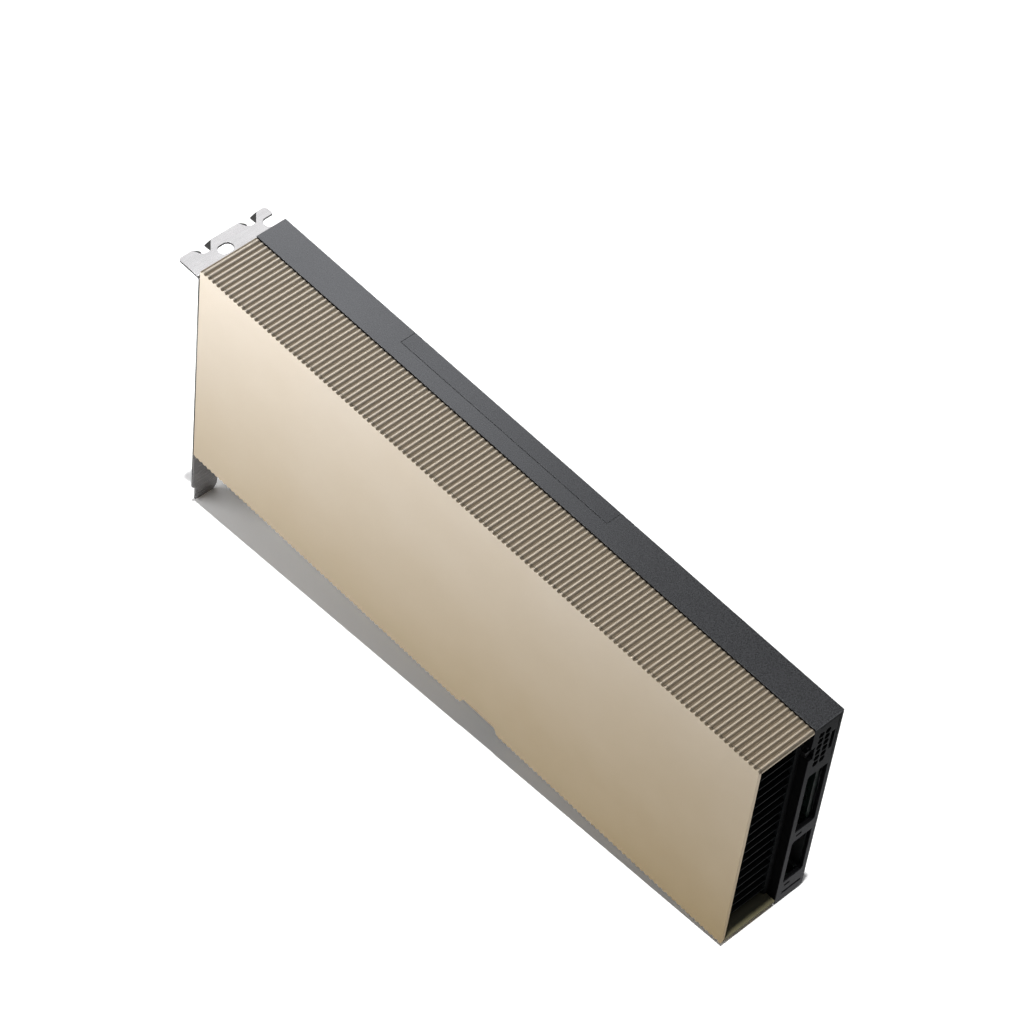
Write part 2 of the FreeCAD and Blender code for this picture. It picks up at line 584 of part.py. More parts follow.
# Latch: small clip in the notch of the end plate
def make_latch():
    body = new_body("rear_latch")
    clip = rectangle(body, "latch_body", "YZ_Plane", "cooler_length - end_wall - latch_length",
                     (FRAME_FRONT, "latch_bottom + fit_gap"),
                     ("latch_depth - fit_gap", "latch_height - 2 * fit_gap"))
    grow(body, clip, "latch_length")
    nose = rectangle(body, "latch_nose", "YZ_Plane",
                     "cooler_length - latch_nose_inset - latch_nose_length",
                     (f"{FRAME_FRONT} - latch_nose_reach", "latch_bottom + latch_height / 2"),
                     ("latch_nose_reach + latch_depth - fit_gap", "latch_nose_height"))
    grow(body, nose, "latch_nose_length")


# Cover: flush lid over the bridge tongues, with a skirt at each end
def make_cover():
    body = new_body("bridge_port_cover")
    lid = rectangle(body, "lid", "XY_Plane", "cooler_height - cover_sheet",
                    ("cover_start", COVER_FRONT), ("cover_length", "cover_width"))
    grow(body, lid, "cover_sheet")
    skirt_margin = "2 * (cover_ledge + fit_gap)"
    inset = "cover_ledge + fit_gap"
    for side, start in (("near", f"cover_start + {inset}"),
                        ("far", f"cover_start + cover_length - cover_sheet - ({inset})")):
        skirt = rectangle(body, f"{side}_skirt", "XY_Plane", "cooler_height - cover_skirt",
                          (start, f"{COVER_FRONT} + cover_ledge + fit_gap"),
                          ("cover_sheet", f"{BACKPLATE_FRONT} - {COVER_FRONT} - {skirt_margin}"))
        grow(body, skirt, "cover_skirt")


# Bracket: plate, top fold with its screw slots, vents and two feet
def make_bracket():
    body = new_body("io_bracket")
    bottom = f"({SHELF} + bracket_sheet - bracket_height)"
    near, far = "bracket_inset", "bracket_inset + bracket_width"
    sheet_end = polygon(body, "bracket_section", "XZ_Plane", near, [
        ("0", bottom), ("0", f"{SHELF} + bracket_sheet"), ("-fold_depth", f"{SHELF} + bracket_sheet"),
        ("-fold_depth", SHELF), ("-bracket_sheet", SHELF), ("-bracket_sheet", bottom)])
    bend = grow(body, sheet_end, "bracket_width")
    shelf = size("cooler_height") - size("top_rise")

    def outer_bend(edge):
        return runs_along(edge, "Y") and abs(edge.CenterOfMass.x) < 1e-6 \
            and abs(edge.CenterOfMass.z - shelf) < 1e-6

    def inner_bend(edge):
        return runs_along(edge, "Y") and abs(edge.CenterOfMass.x + size("bracket_sheet")) < 1e-6 \
            and abs(edge.CenterOfMass.z - shelf + size("bracket_sheet")) < 1e-6

    rounded = soften(body, bend, "bend_radius + bracket_sheet", outer_bend)
    soften(body, rounded, "bend_radius", inner_bend)
    cut(body, foot_outline(body, near, far, bottom), "bracket_sheet + 2 * overcut")
    make_fold_cuts(body, near, far)
    make_bracket_vents(body)
    screw_holes = circles(body, "bracket_screw_holes", "YZ_Plane", "-bracket_sheet - overcut",
                          "screw_shank + 2 * hole_gap", bracket_screw_centres())
    cut(body, screw_holes, "bracket_sheet + 2 * overcut")


def foot_outline(body, near, far, bottom):
    """Everything below the plate's shoulders that isn't a foot."""
    shoulder = f"{SHELF} + bracket_sheet - shoulder_height"
    taper_top, below = f"{shoulder} + shoulder_taper_z", f"{bottom} - overcut"
    corners = [(f"{near} - overcut", below), (f"{near} - overcut", taper_top), (near, taper_top),
               (f"{near} + shoulder_taper_y", shoulder)]
    for foot in range(int(size("slot_count"))):
        left = f"{near} + foot_inset + slot_pitch * {foot}"
        right = f"{left} + foot_width"
        corners += [(left, shoulder), (left, f"{bottom} + foot_taper"),
                    (f"{left} + foot_taper", bottom), (f"{right} - foot_taper", bottom),
                    (right, f"{bottom} + foot_taper"), (right, shoulder)]
    corners += [(f"{far} - shoulder_taper_y", shoulder), (far, taper_top),
                (f"{far} + overcut", taper_top), (f"{far} + overcut", below)]
    return polygon(body, "foot_outline", "YZ_Plane", "-bracket_sheet - overcut", corners)


def make_fold_cuts(body, near, far):
    """Screw slots and lead-in notches of the top fold."""
    edge, root = "-fold_depth", "-fold_depth + lead_notch_depth"
    start = f"{near} + lead_notch_start"
    notch = polygon(body, "lead_notch", "XY_Plane", f"{SHELF} - overcut", [
        (f"{edge} - overcut", start), (edge, start),
        (f"{root} - lead_notch_corner", f"{start} + lead_notch_slant"),
        (root, f"{start} + lead_notch_slant + lead_notch_corner"),
        (root, f"{start} + lead_notch_mouth"),
        (f"{edge} - overcut", f"{start} + lead_notch_mouth")])
    repeat(body, cut(body, notch, "bracket_sheet + 2 * overcut"), "Y", "slot_pitch", "slot_count")
    low = "-screw_line - screw_slot_width / 2"
    closed = rectangle(body, "closed_screw_slot", "XY_Plane", f"{SHELF} - overcut",
                       (low, f"{near} + screw_slot_start"), ("screw_slot_width", "screw_slot_length"))
    cut(body, closed, "bracket_sheet + 2 * overcut")
    open_start = f"{near} + screw_slot_start + slot_pitch"
    opened = rectangle(body, "open_screw_slot", "XY_Plane", f"{SHELF} - overcut",
                       (low, open_start), ("screw_slot_width", f"{far} - ({open_start}) + overcut"))
    slots = cut(body, opened, "bracket_sheet + 2 * overcut")
    starts = [size("bracket_inset") + size("screw_slot_start"),
              size("bracket_inset") + size("screw_slot_start") + size("slot_pitch"),
              size("bracket_inset") + size("screw_slot_start") + size("screw_slot_length")]

    def slot_corner(edge_):
        middle = edge_.CenterOfMass
        inside = abs(middle.x + size("screw_line")) < size("screw_slot_width") / 2 + 1e-6
        return runs_along(edge_, "Z") and inside and any(abs(middle.y - y) < 1e-6 for y in starts)

    soften(body, slots, "screw_slot_corner", slot_corner)


def make_bracket_vents(body):
    """Two columns of long vents."""
    low = "vent_lowest - vent_width / 2"
    vent = rectangle(body, "vent", "YZ_Plane", "-bracket_sheet - overcut",
                     ("bracket_inset + vent_side", low), ("vent_length", "vent_width"))
    repeat_grid(body, cut(body, vent, "bracket_sheet + 2 * overcut"), ("Z", "vent_rise", "vent_rows"),
                ("Y", "vent_length + vent_gap", "vent_columns"))


def bracket_screw_centres():
    side = "cooler_depth - bracket_screw_side"
    return [(side, "bracket_screw_inset"), (side, f"{SHELF} - bracket_screw_inset")]


# Fin stack: thin fins on a thin floor, open at both ends
def make_fins():
    body = new_body("fin_stack")
    back = "base_front"
    floor = rectangle(body, "fin_floor", "XZ_Plane", f"{back} - fin_floor",
                      ("base_start", "fin_lowest"),
                      (HEATSINK_LENGTH, "fin_pitch * (fin_count - 1) + fin_thickness"))
    grow(body, floor, "fin_floor")
    fin = rectangle(body, "fin", "XZ_Plane", "front_wall + fin_clearance",
                    ("base_start", "fin_lowest"), (HEATSINK_LENGTH, "fin_thickness"))
    repeat(body, grow(body, fin, f"{back} - front_wall - fin_clearance"), "Z",
           "fin_pitch", "fin_count")


# Heatsink base: plate behind the fins, pedestal over the processor, steps over the power parts
def make_base():
    body = new_body("heatsink_base")
    plate = rectangle(body, "base_plate", "XZ_Plane", "base_front", ("base_start", "base_side"),
                      (HEATSINK_LENGTH, "cooler_height - 2 * base_side"))
    plate_pad = grow(body, plate, f"{FRAME_FRONT} - base_front")
    rear = size("cooler_length") - size("base_setback")

    def rear_back_edge(edge):
        middle = edge.CenterOfMass
        return runs_along(edge, "Z") and abs(middle.x - rear) < 1e-6 \
            and abs(middle.y - size("base_front")) < 1e-6

    soften(body, plate_pad, "base_corner", rear_back_edge)
    top_of_die = f"({BOARD_FRONT} - substrate_thickness - die_thickness - paste_gap)"
    pedestal = rectangle(body, "pedestal", "XZ_Plane", "base_front",
                         ("processor_x - pedestal_length / 2", "processor_z - pedestal_height / 2"),
                         ("pedestal_length", "pedestal_height"))
    grow(body, pedestal, f"{top_of_die} - base_front")
    bores = circles(body, "pedestal_bores", "XZ_Plane", SPRING_SCREW_TIP,
                    "screw_shank + 2 * thread_gap", spring_screw_centres())
    cut(body, bores, "cooler_depth")
    for side, sign in (("near", "-"), ("far", "+")):
        step = rectangle(body, f"{side}_step", "XZ_Plane", "base_front",
                         (f"processor_x {sign} stage_offset - stage_length",
                          "(cooler_height - window_height) / 2 + board_gap"),
                         ("2 * stage_length", "window_height - 2 * board_gap"))
        grow(body, step, f"{FRAME_FRONT} - base_front + power_step")


# Board, with its card-edge tongue below and three bridge tongues above
def make_board():
    body = new_body("circuit_board")
    chamfer, bottom = "finger_chamfer", FINGER_BOTTOM
    key_start = "finger_start + finger_short"
    key_end = f"{key_start} + key_width"
    hook_start = f"{FINGER_END} + hook_gap"
    hook_end = f"{hook_start} + hook_length"
    shoulder = f"{bottom} + finger_shoulder"
    plug_low = f"{SOCKET_BOTTOM} - plug_room"
    plug_high = f"{SOCKET_BOTTOM} + socket_height + plug_room"
    socket_front = f"{SOCKET_BACK} - socket_length - board_gap"
    corners = [
        (BOARD_START, BOARD_BOTTOM), ("finger_start", BOARD_BOTTOM),
        ("finger_start", f"{bottom} + {chamfer}"), (f"finger_start + {chamfer}", bottom),
        (f"{key_start} - {chamfer}", bottom), (key_start, f"{bottom} + {chamfer}"),
        (key_start, f"{bottom} + key_depth"), (key_end, f"{bottom} + key_depth"),
        (key_end, f"{bottom} + {chamfer}"), (f"{key_end} + {chamfer}", bottom),
        (f"{FINGER_END} - {chamfer}", bottom), (FINGER_END, f"{bottom} + {chamfer}"),
        (FINGER_END, shoulder), (hook_start, shoulder), (hook_start, f"{bottom} + hook_drop"),
        (hook_end, f"{bottom} + hook_drop + hook_slant"), (hook_end, BOARD_BOTTOM),
        (BOARD_END, BOARD_BOTTOM), (BOARD_END, plug_low), (socket_front, plug_low),
        (socket_front, plug_high), (BOARD_END, plug_high),
        (BOARD_END, BOARD_TOP), (BOARD_START, BOARD_TOP)]
    grow(body, polygon(body, "board_outline", "XZ_Plane", BOARD_FRONT, corners), "board_thickness")
    gap = rectangle(body, "bridge_gap", "XZ_Plane", f"{BOARD_FRONT} - overcut",
                    ("bridge_first - (bridge_pitch - bridge_width)", f"{BOARD_TOP} - bridge_rise"),
                    ("bridge_pitch - bridge_width", "bridge_rise + overcut"))
    repeat(body, cut(body, gap, "board_thickness + 2 * overcut"), "X", "bridge_pitch", "bridge_count + 1")
    holes = circles(body, "board_holes", "XZ_Plane", f"{BOARD_FRONT} - overcut",
                    "screw_shank + 2 * hole_gap", boss_centres() + spring_screw_centres())
    cut(body, holes, "board_thickness + 2 * overcut")


def spring_screw_centres():
    return [(f"processor_x {across} spring_screw_spread / 2",
             f"processor_z {up} spring_screw_rise / 2")
            for across in "-+" for up in "-+"]


def contact_rows(body, name, count, across, up, pitch):
    """One row of contacts on each face of the board."""
    faces = (("front", f"{BOARD_FRONT} - contact_layer"), ("back", BOARD_BACK))
    for face, level in faces:
        contact = rectangle(body, f"{name}_{face}", "XZ_Plane", level, (across, up),
                            ("contact_width", "contact_height"))
        repeat(body, grow(body, contact, "contact_layer"), "X", pitch, count)


def make_edge_contacts():
    body = new_body("edge_contacts", solids_apart=True)
    up = f"{FINGER_BOTTOM} + contact_inset"
    for name, count, start, length in (
            ("short_row", "contacts_short", "finger_start", "finger_short"),
            ("long_row", "contacts_long", "finger_start + finger_short + key_width", "finger_long")):
        row = f"(contact_pitch * ({count} - 1) + contact_width)"
        contact_rows(body, name, count, f"{start} + ({length} - {row}) / 2", up, "contact_pitch")


def make_bridge_contacts():
    body = new_body("bridge_contacts", solids_apart=True)
    row = "(bridge_contact_pitch * (bridge_contacts_count - 1) + contact_width)"
    for tongue in range(int(size("bridge_count"))):
        start = f"bridge_first + bridge_pitch * {tongue} + (bridge_width - {row}) / 2"
        contact_rows(body, f"tongue_{tongue}", "bridge_contacts_count", start,
                     f"{BOARD_TOP} - contact_inset - contact_height", "bridge_contact_pitch")


# Processor package
def make_package():
    side = "substrate_side"
    low = (f"processor_x - {side} / 2", f"processor_z - {side} / 2")
    top = f"({BOARD_FRONT} - substrate_thickness)"
    substrate = new_body("processor_substrate")
    grow(substrate, rectangle(substrate, "substrate", "XZ_Plane", top, low, (side, side)),
         "substrate_thickness")
    ring = new_body("processor_stiffener")
    grow(ring, rectangle(ring, "ring", "XZ_Plane", f"{top} - stiffener_thickness", low,
                         (side, side)), "stiffener_thickness")
    inner = f"({side} - 2 * stiffener_width)"
    hole = rectangle(ring, "ring_hole", "XZ_Plane", f"{top} - stiffener_thickness - overcut",
                     (f"processor_x - {inner} / 2", f"processor_z - {inner} / 2"), (inner, inner))
    cut(ring, hole, "stiffener_thickness + 2 * overcut")
    die = new_body("processor_die")
    grow(die, rectangle(die, "die", "XZ_Plane", f"{top} - die_thickness",
                        ("processor_x - die_width / 2", "processor_z - die_height / 2"),
                        ("die_width", "die_height")), "die_thickness")
    memory = new_body("memory_stacks", solids_apart=True)
    step = "(memory_height + memory_gap)"
    for name, start in (("near", "processor_x - die_width / 2 - memory_gap - memory_width"),
                        ("far", "processor_x + die_width / 2 + memory_gap")):
        stack = rectangle(memory, f"{name}_stack", "XZ_Plane", f"{top} - die_thickness",
                          (start, column_start("memory_count", step, "memory_height")),
                          ("memory_width", "memory_height"))
        repeat(memory, grow(memory, stack, "die_thickness"), "Z", step, "memory_count")


def column_start(count, pitch, height):
    """Lowest edge of a column of equal parts, centred on the processor."""
    return f"processor_z - ({pitch} * ({count} - 1) + {height}) / 2"


# Power parts, in one column on each side of the processor
def make_power_parts():
    inductors = new_body("inductors", solids_apart=True)
    stages = new_body("power_stages", solids_apart=True)
    pads = new_body("thermal_pads", solids_apart=True)
    capacitors = new_body("capacitors", solids_apart=True)
    pad_front = f"({FRAME_FRONT} + power_step)"
    for side, sign in (("near", "-"), ("far", "+")):
        block = rectangle(inductors, f"{side}_inductor", "XZ_Plane",
                          f"{BOARD_FRONT} - inductor_height",
                          (f"processor_x {sign} inductor_offset - inductor_side / 2",
                           column_start("inductor_count", "inductor_pitch", "inductor_side")),
                          ("inductor_side", "inductor_side"))
        repeat(inductors, grow(inductors, block, "inductor_height"), "Z", "inductor_pitch",
               "inductor_count")
        stage = rectangle(stages, f"{side}_stage", "XZ_Plane", f"{BOARD_FRONT} - stage_height",
                          (f"processor_x {sign} stage_offset - stage_length / 2",
                           column_start("inductor_count", "inductor_pitch", "stage_width")),
                          ("stage_length", "stage_width"))
        repeat(stages, grow(stages, stage, "stage_height"), "Z", "inductor_pitch",
               "inductor_count")
        pad = rectangle(pads, f"{side}_pad", "XZ_Plane", pad_front,
                        (f"processor_x {sign} stage_offset - stage_length / 2",
                         column_start("inductor_count", "inductor_pitch", "stage_width")),
                        ("stage_length", "inductor_pitch * (inductor_count - 1) + stage_width"))
        grow(pads, pad, f"{BOARD_FRONT} - stage_height - {pad_front}")
        can = circles(capacitors, f"{side}_can", "XZ_Plane", f"{BOARD_FRONT} - capacitor_height",
                      "capacitor_diameter",
                      [(f"processor_x {sign} capacitor_offset",
                        column_start("inductor_count", "inductor_pitch", "0"))])
        repeat(capacitors, grow(capacitors, can, "capacitor_height"), "Z", "inductor_pitch",
               "inductor_count")


def make_chips():
    body = new_body("controller_chips", solids_apart=True)
    chip = rectangle(body, "chip", "XZ_Plane", f"{BOARD_FRONT} - chip_height",
                     ("chip_start", column_start("chip_count", "chip_pitch", "chip_side")),
                     ("chip_side", "chip_side"))
    repeat(body, grow(body, chip, "chip_height"), "Z", "chip_pitch", "chip_count")


# Power socket at the rear end, with its ways and terminals
def make_socket():
    body = new_body("power_connector")
    start = f"({SOCKET_BACK} - socket_length)"
    housing = rectangle(body, "socket_housing", "YZ_Plane", start, (SOCKET_FRONT, SOCKET_BOTTOM),
                        ("socket_width", "socket_height"))
    grow(body, housing, "socket_length")
    for side, low in (("lower", f"{SOCKET_BOTTOM} - ear_reach"),
                      ("upper", f"{SOCKET_BOTTOM} + socket_height")):
        ear = rectangle(body, f"{side}_ear", "XZ_Plane", f"{BOARD_FRONT} - ear_thickness",
                        (start, low), ("ear_length", "ear_reach"))
        grow(body, ear, "ear_thickness")
    way_low = (f"{SOCKET_FRONT} + (socket_width - socket_pitch * (way_columns - 1) - socket_cavity) / 2",
               f"{SOCKET_BOTTOM} + (socket_height - socket_pitch * (way_rows - 1) - socket_cavity) / 2")
    way = rectangle(body, "way", "YZ_Plane", f"{SOCKET_BACK} - socket_depth", way_low,
                    ("socket_cavity", "socket_cavity"))
    repeat_grid(body, cut(body, way, "socket_depth + overcut"), ("Z", "socket_pitch", "way_rows"),
                ("Y", "socket_pitch", "way_columns"))
    pins = new_body("power_pins", solids_apart=True)
    centre = "(socket_cavity - pin_side) / 2"
    pin = rectangle(pins, "pin", "YZ_Plane", f"{SOCKET_BACK} - socket_depth",
                    (f"{way_low[0]} + {centre}", f"{way_low[1]} + {centre}"),
                    ("pin_side", "pin_side"))
    repeat_grid(pins, grow(pins, pin, "pin_length"), ("Z", "socket_pitch", "way_rows"),
                ("Y", "socket_pitch", "way_columns"))


# Backplate: sheet inside the frame's rim, with raised pads that reach the board
def make_backplate():
    body = new_body("backplate")
    low = ("rim + backplate_gap", "rim + backplate_gap")
    span = ("cooler_length - rim - end_wall - 2 * backplate_gap",
            "cooler_height - 2 * rim - 2 * backplate_gap")
    grow(body, rectangle(body, "back_sheet", "XZ_Plane", BACKPLATE_FRONT, low, span),
         "backplate_sheet")
    pads = circles(body, "back_pads", "XZ_Plane", BOARD_BACK, "boss_diameter", boss_centres())
    grow(body, pads, f"cooler_depth - {BOARD_BACK}")
    heads = circles(body, "back_counterbores", "XZ_Plane", "cooler_depth - screw_head_height",
                    "screw_head + 2 * fit_gap", boss_centres())
    cut(body, heads, "screw_head_height + overcut")
    holes = circles(body, "back_holes", "XZ_Plane", f"{BOARD_BACK} - overcut",
                    "screw_shank + 2 * hole_gap", boss_centres())
    cut(body, holes, "cooler_depth")


def make_retention_plate():
    body = new_body("retention_plate")
    arm = "retention_arm / 2"
    left, right = "processor_x - spring_screw_spread / 2", "processor_x + spring_screw_spread / 2"
    low, high = "processor_z - spring_screw_rise / 2", "processor_z + spring_screw_rise / 2"
    ring = rectangle(body, "retention_ring", "XZ_Plane", BOARD_BACK,
                     (f"{left} - {arm}", f"{low} - {arm}"),
                     (f"{right} - ({left}) + retention_arm", f"{high} - ({low}) + retention_arm"))
    grow(body, ring, "retention_sheet")
    hole = rectangle(body, "retention_window", "XZ_Plane", f"{BOARD_BACK} - overcut",
                     (f"{left} + {arm}", f"{low} + {arm}"),
                     (f"{right} - ({left}) - retention_arm", f"{high} - ({low}) - retention_arm"))
    cut(body, hole, "retention_sheet + 2 * overcut")
    bores = circles(body, "retention_holes", "XZ_Plane", f"{BOARD_BACK} - overcut",
                    "screw_shank + 2 * hole_gap", spring_screw_centres())
    cut(body, bores, "retention_sheet + 2 * overcut")


def screws(label, plane, head_start, head, head_height, shank_start, shank_length, centres):
    """Screws of one size: a round head and a shank on one axis."""
    body = new_body(label, solids_apart=True)
    grow(body, circles(body, f"{label}_heads", plane, head_start, head, centres), head_height)
    grow(body, circles(body, f"{label}_shanks", plane, shank_start, "screw_shank", centres),
         shank_length)


def make_screws():
    head = "screw_head_height"
    tip = f"({BOARD_FRONT} - boss_thread)"
    screws("backplate_screws", "XZ_Plane", f"cooler_depth - {head}", "screw_head", head,
           tip, f"cooler_depth - {head} - {tip}", boss_centres())
    spring_head = f"({BACKPLATE_FRONT} - {BOARD_BACK} - retention_sheet - spring_head_gap)"
    screws("heatsink_screws", "XZ_Plane", f"{BOARD_BACK} + retention_sheet", "screw_head",
           spring_head, SPRING_SCREW_TIP, f"{BOARD_BACK} + retention_sheet - {SPRING_SCREW_TIP}",
           spring_screw_centres())
    screws("bracket_screws", "YZ_Plane", f"-bracket_sheet - {head}", "bracket_screw_head", head,
           "-bracket_sheet", "bracket_sheet + bracket_screw_length", bracket_screw_centres())


def check_and_write():
    """Stops at a failed object or a bad shape, then writes one STEP file for each piece."""
    doc.recompute()
    failed = [item.Label for item in doc.Objects
              if "Invalid" in item.State or "Error" in item.State]
    if failed:
        raise RuntimeError(f"failed objects: {failed}")
    os.makedirs("parts", exist_ok=True)
    for piece in pieces:
        if piece.Shape.isNull() or not piece.Shape.isValid() or not piece.Shape.Solids:
            raise RuntimeError(f"bad shape: {piece.Label}")
    for piece in pieces:
        piece.Shape.exportStep(f"parts/{piece.Label}.step")


make_shroud()
make_frame()
make_latch()
make_cover()
make_bracket()
make_fins()
make_base()
make_board()
make_edge_contacts()
make_bridge_contacts()
make_package()
make_power_parts()
make_chips()
make_socket()
make_backplate()
make_retention_plate()
make_screws()
check_and_write()
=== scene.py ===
import math

import bmesh
import bpy
from mathutils import Matrix, Vector


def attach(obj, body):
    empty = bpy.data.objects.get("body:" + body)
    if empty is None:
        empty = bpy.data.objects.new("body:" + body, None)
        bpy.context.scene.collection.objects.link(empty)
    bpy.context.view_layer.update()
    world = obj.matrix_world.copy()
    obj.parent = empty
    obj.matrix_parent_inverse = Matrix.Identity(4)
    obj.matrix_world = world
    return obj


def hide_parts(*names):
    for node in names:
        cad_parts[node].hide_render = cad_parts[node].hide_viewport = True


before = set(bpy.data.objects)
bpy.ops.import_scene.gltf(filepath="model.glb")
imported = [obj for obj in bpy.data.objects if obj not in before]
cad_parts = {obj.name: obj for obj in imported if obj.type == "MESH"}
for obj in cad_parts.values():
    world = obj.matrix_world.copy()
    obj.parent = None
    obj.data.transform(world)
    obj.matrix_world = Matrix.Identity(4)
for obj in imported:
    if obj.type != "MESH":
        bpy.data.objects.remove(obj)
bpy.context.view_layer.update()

# Sizes in millimetres, in the cooler's own axes: X from the bracket's inner face to the rear,
# Y from the front face to the back, Z up from the cooler's bottom edge
OFFSET = Vector((5.08, -19.57, -92.80))
LENGTH, HEIGHT, DEPTH = 266.84, 97.83, 38.0

# Shroud
SHROUD_DEPTH, FRONT_WALL, RIBBED_WALL = 24.85, 1.2, 1.9
RIB_PITCH, GROOVE_FIRST, GROOVE_DEPTH = 2.1675, 0.35, 0.74
RIB_SHARPNESS, STATIONS_PER_RIB = 1.35, 12
RIB_END_RUN, RIB_END_DROP, RIB_END_ROWS = 0.6, 0.45, 8
NOTCH_START, NOTCH_END, NOTCH_RISE, NOTCH_LEAD = 139.6, 158.6, 3.1, 1.8
END_ROUNDING, EDGE_ROUNDING, WALL_OVERLAP = 0.2, 0.08, 0.4
CREASE_DEGREES = 38

# Bracket
SHEET, FOLD_DEPTH, SHELF, BEND_RADIUS = 0.86, 11.43, 92.80, 0.5
BRACKET_NEAR, BRACKET_FAR = 0.2, 38.94
BRACKET_HEIGHT, SHOULDER_HEIGHT = 120.02, 112.75
SLOT_PITCH, SLOTS = 20.32, 2
FOOT_INSET, FOOT_WIDTH = 1.5, 10.19
SCREW_SLOT_X, SCREW_SLOT_ROUNDING = (-7.29, -2.87), 2.15
CLOSED_SLOT_Y, OPEN_SLOT_Y = (12.85, 18.95), 33.17
VENT_LENGTH, VENT_WIDTH, VENT_ROUNDING, VENT_SIDE, VENT_LOWEST = 14.4, 2.9, 1.4, 3.4, 9.0
VENT_ROWS, VENT_RISE, VENT_COLUMNS, VENT_STEP = 17, 4.6, 2, 17.0
LEAD_NOTCH = ((-FOLD_DEPTH, 6.3, 0.5), (-8.5, 7.7, 1.0), (-7.62, 9.2, 0.9), (-7.62, 11.25, 0.25),
              (-FOLD_DEPTH, 14.5, 0.3))
TAB_HINGE, TAB_TIP = ((-7.66, 11.3), (-FOLD_DEPTH + 0.05, 14.45)), (-FOLD_DEPTH + 0.3, 11.35)
TAB_DEGREES, TAB_SINK, TAB_ROUNDING_M = -12, 0.02, 0.00006
LIP_ENDS, LIP_BULGE = ((-FOLD_DEPTH + 0.05, 6.3), (-8.3, 7.9)), (0.2, 0.95)

# Floor: it rises from the card's foot to its rear lower edge, here X and Z of two of its points,
# and its brightness as the camera sees it, as gloss mirrors it and in all other light
FLOOR_AT_FOOT, FLOOR_AT_MIDDLE, FLOOR_REACH_M = (-0.43, -26.40), (137.2, -13.36), 3.0
FLOOR_SEEN, FLOOR_MIRRORED, FLOOR_TONE = 1.15, 0.70, 0.80

# Camera of the photograph
FOCAL_PIXELS, FRAME_PIXELS, SENSOR_MM = 4113.68, 1024, 36.0
CAMERA_PLACE = (693.4, -618.6, 1128.1)
CAMERA_RIGHT, CAMERA_AHEAD = (0.6791, 0.7294, 0.0826), (-0.4150, 0.4743, -0.7764)


def at(x, y, z):
    """A point of the card in metres, in the row frame."""
    return (Vector((x, y, z)) + OFFSET) / 1000


def new_object(name, data):
    made = bpy.data.objects.new(name, data)
    bpy.context.scene.collection.objects.link(made)
    return made


def link(name, mesh, body="root", materials=()):
    """A piece of the scene, its body and its materials in order."""
    piece = new_object(name, mesh)
    if body:
        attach(piece, body)
    for material in materials:
        piece.data.materials.append(material)
    return piece


def mesh_from(name, bm):
    bmesh.ops.recalc_face_normals(bm, faces=bm.faces)
    mesh = bpy.data.meshes.new(name)
    bm.to_mesh(mesh)
    bm.free()
    return mesh


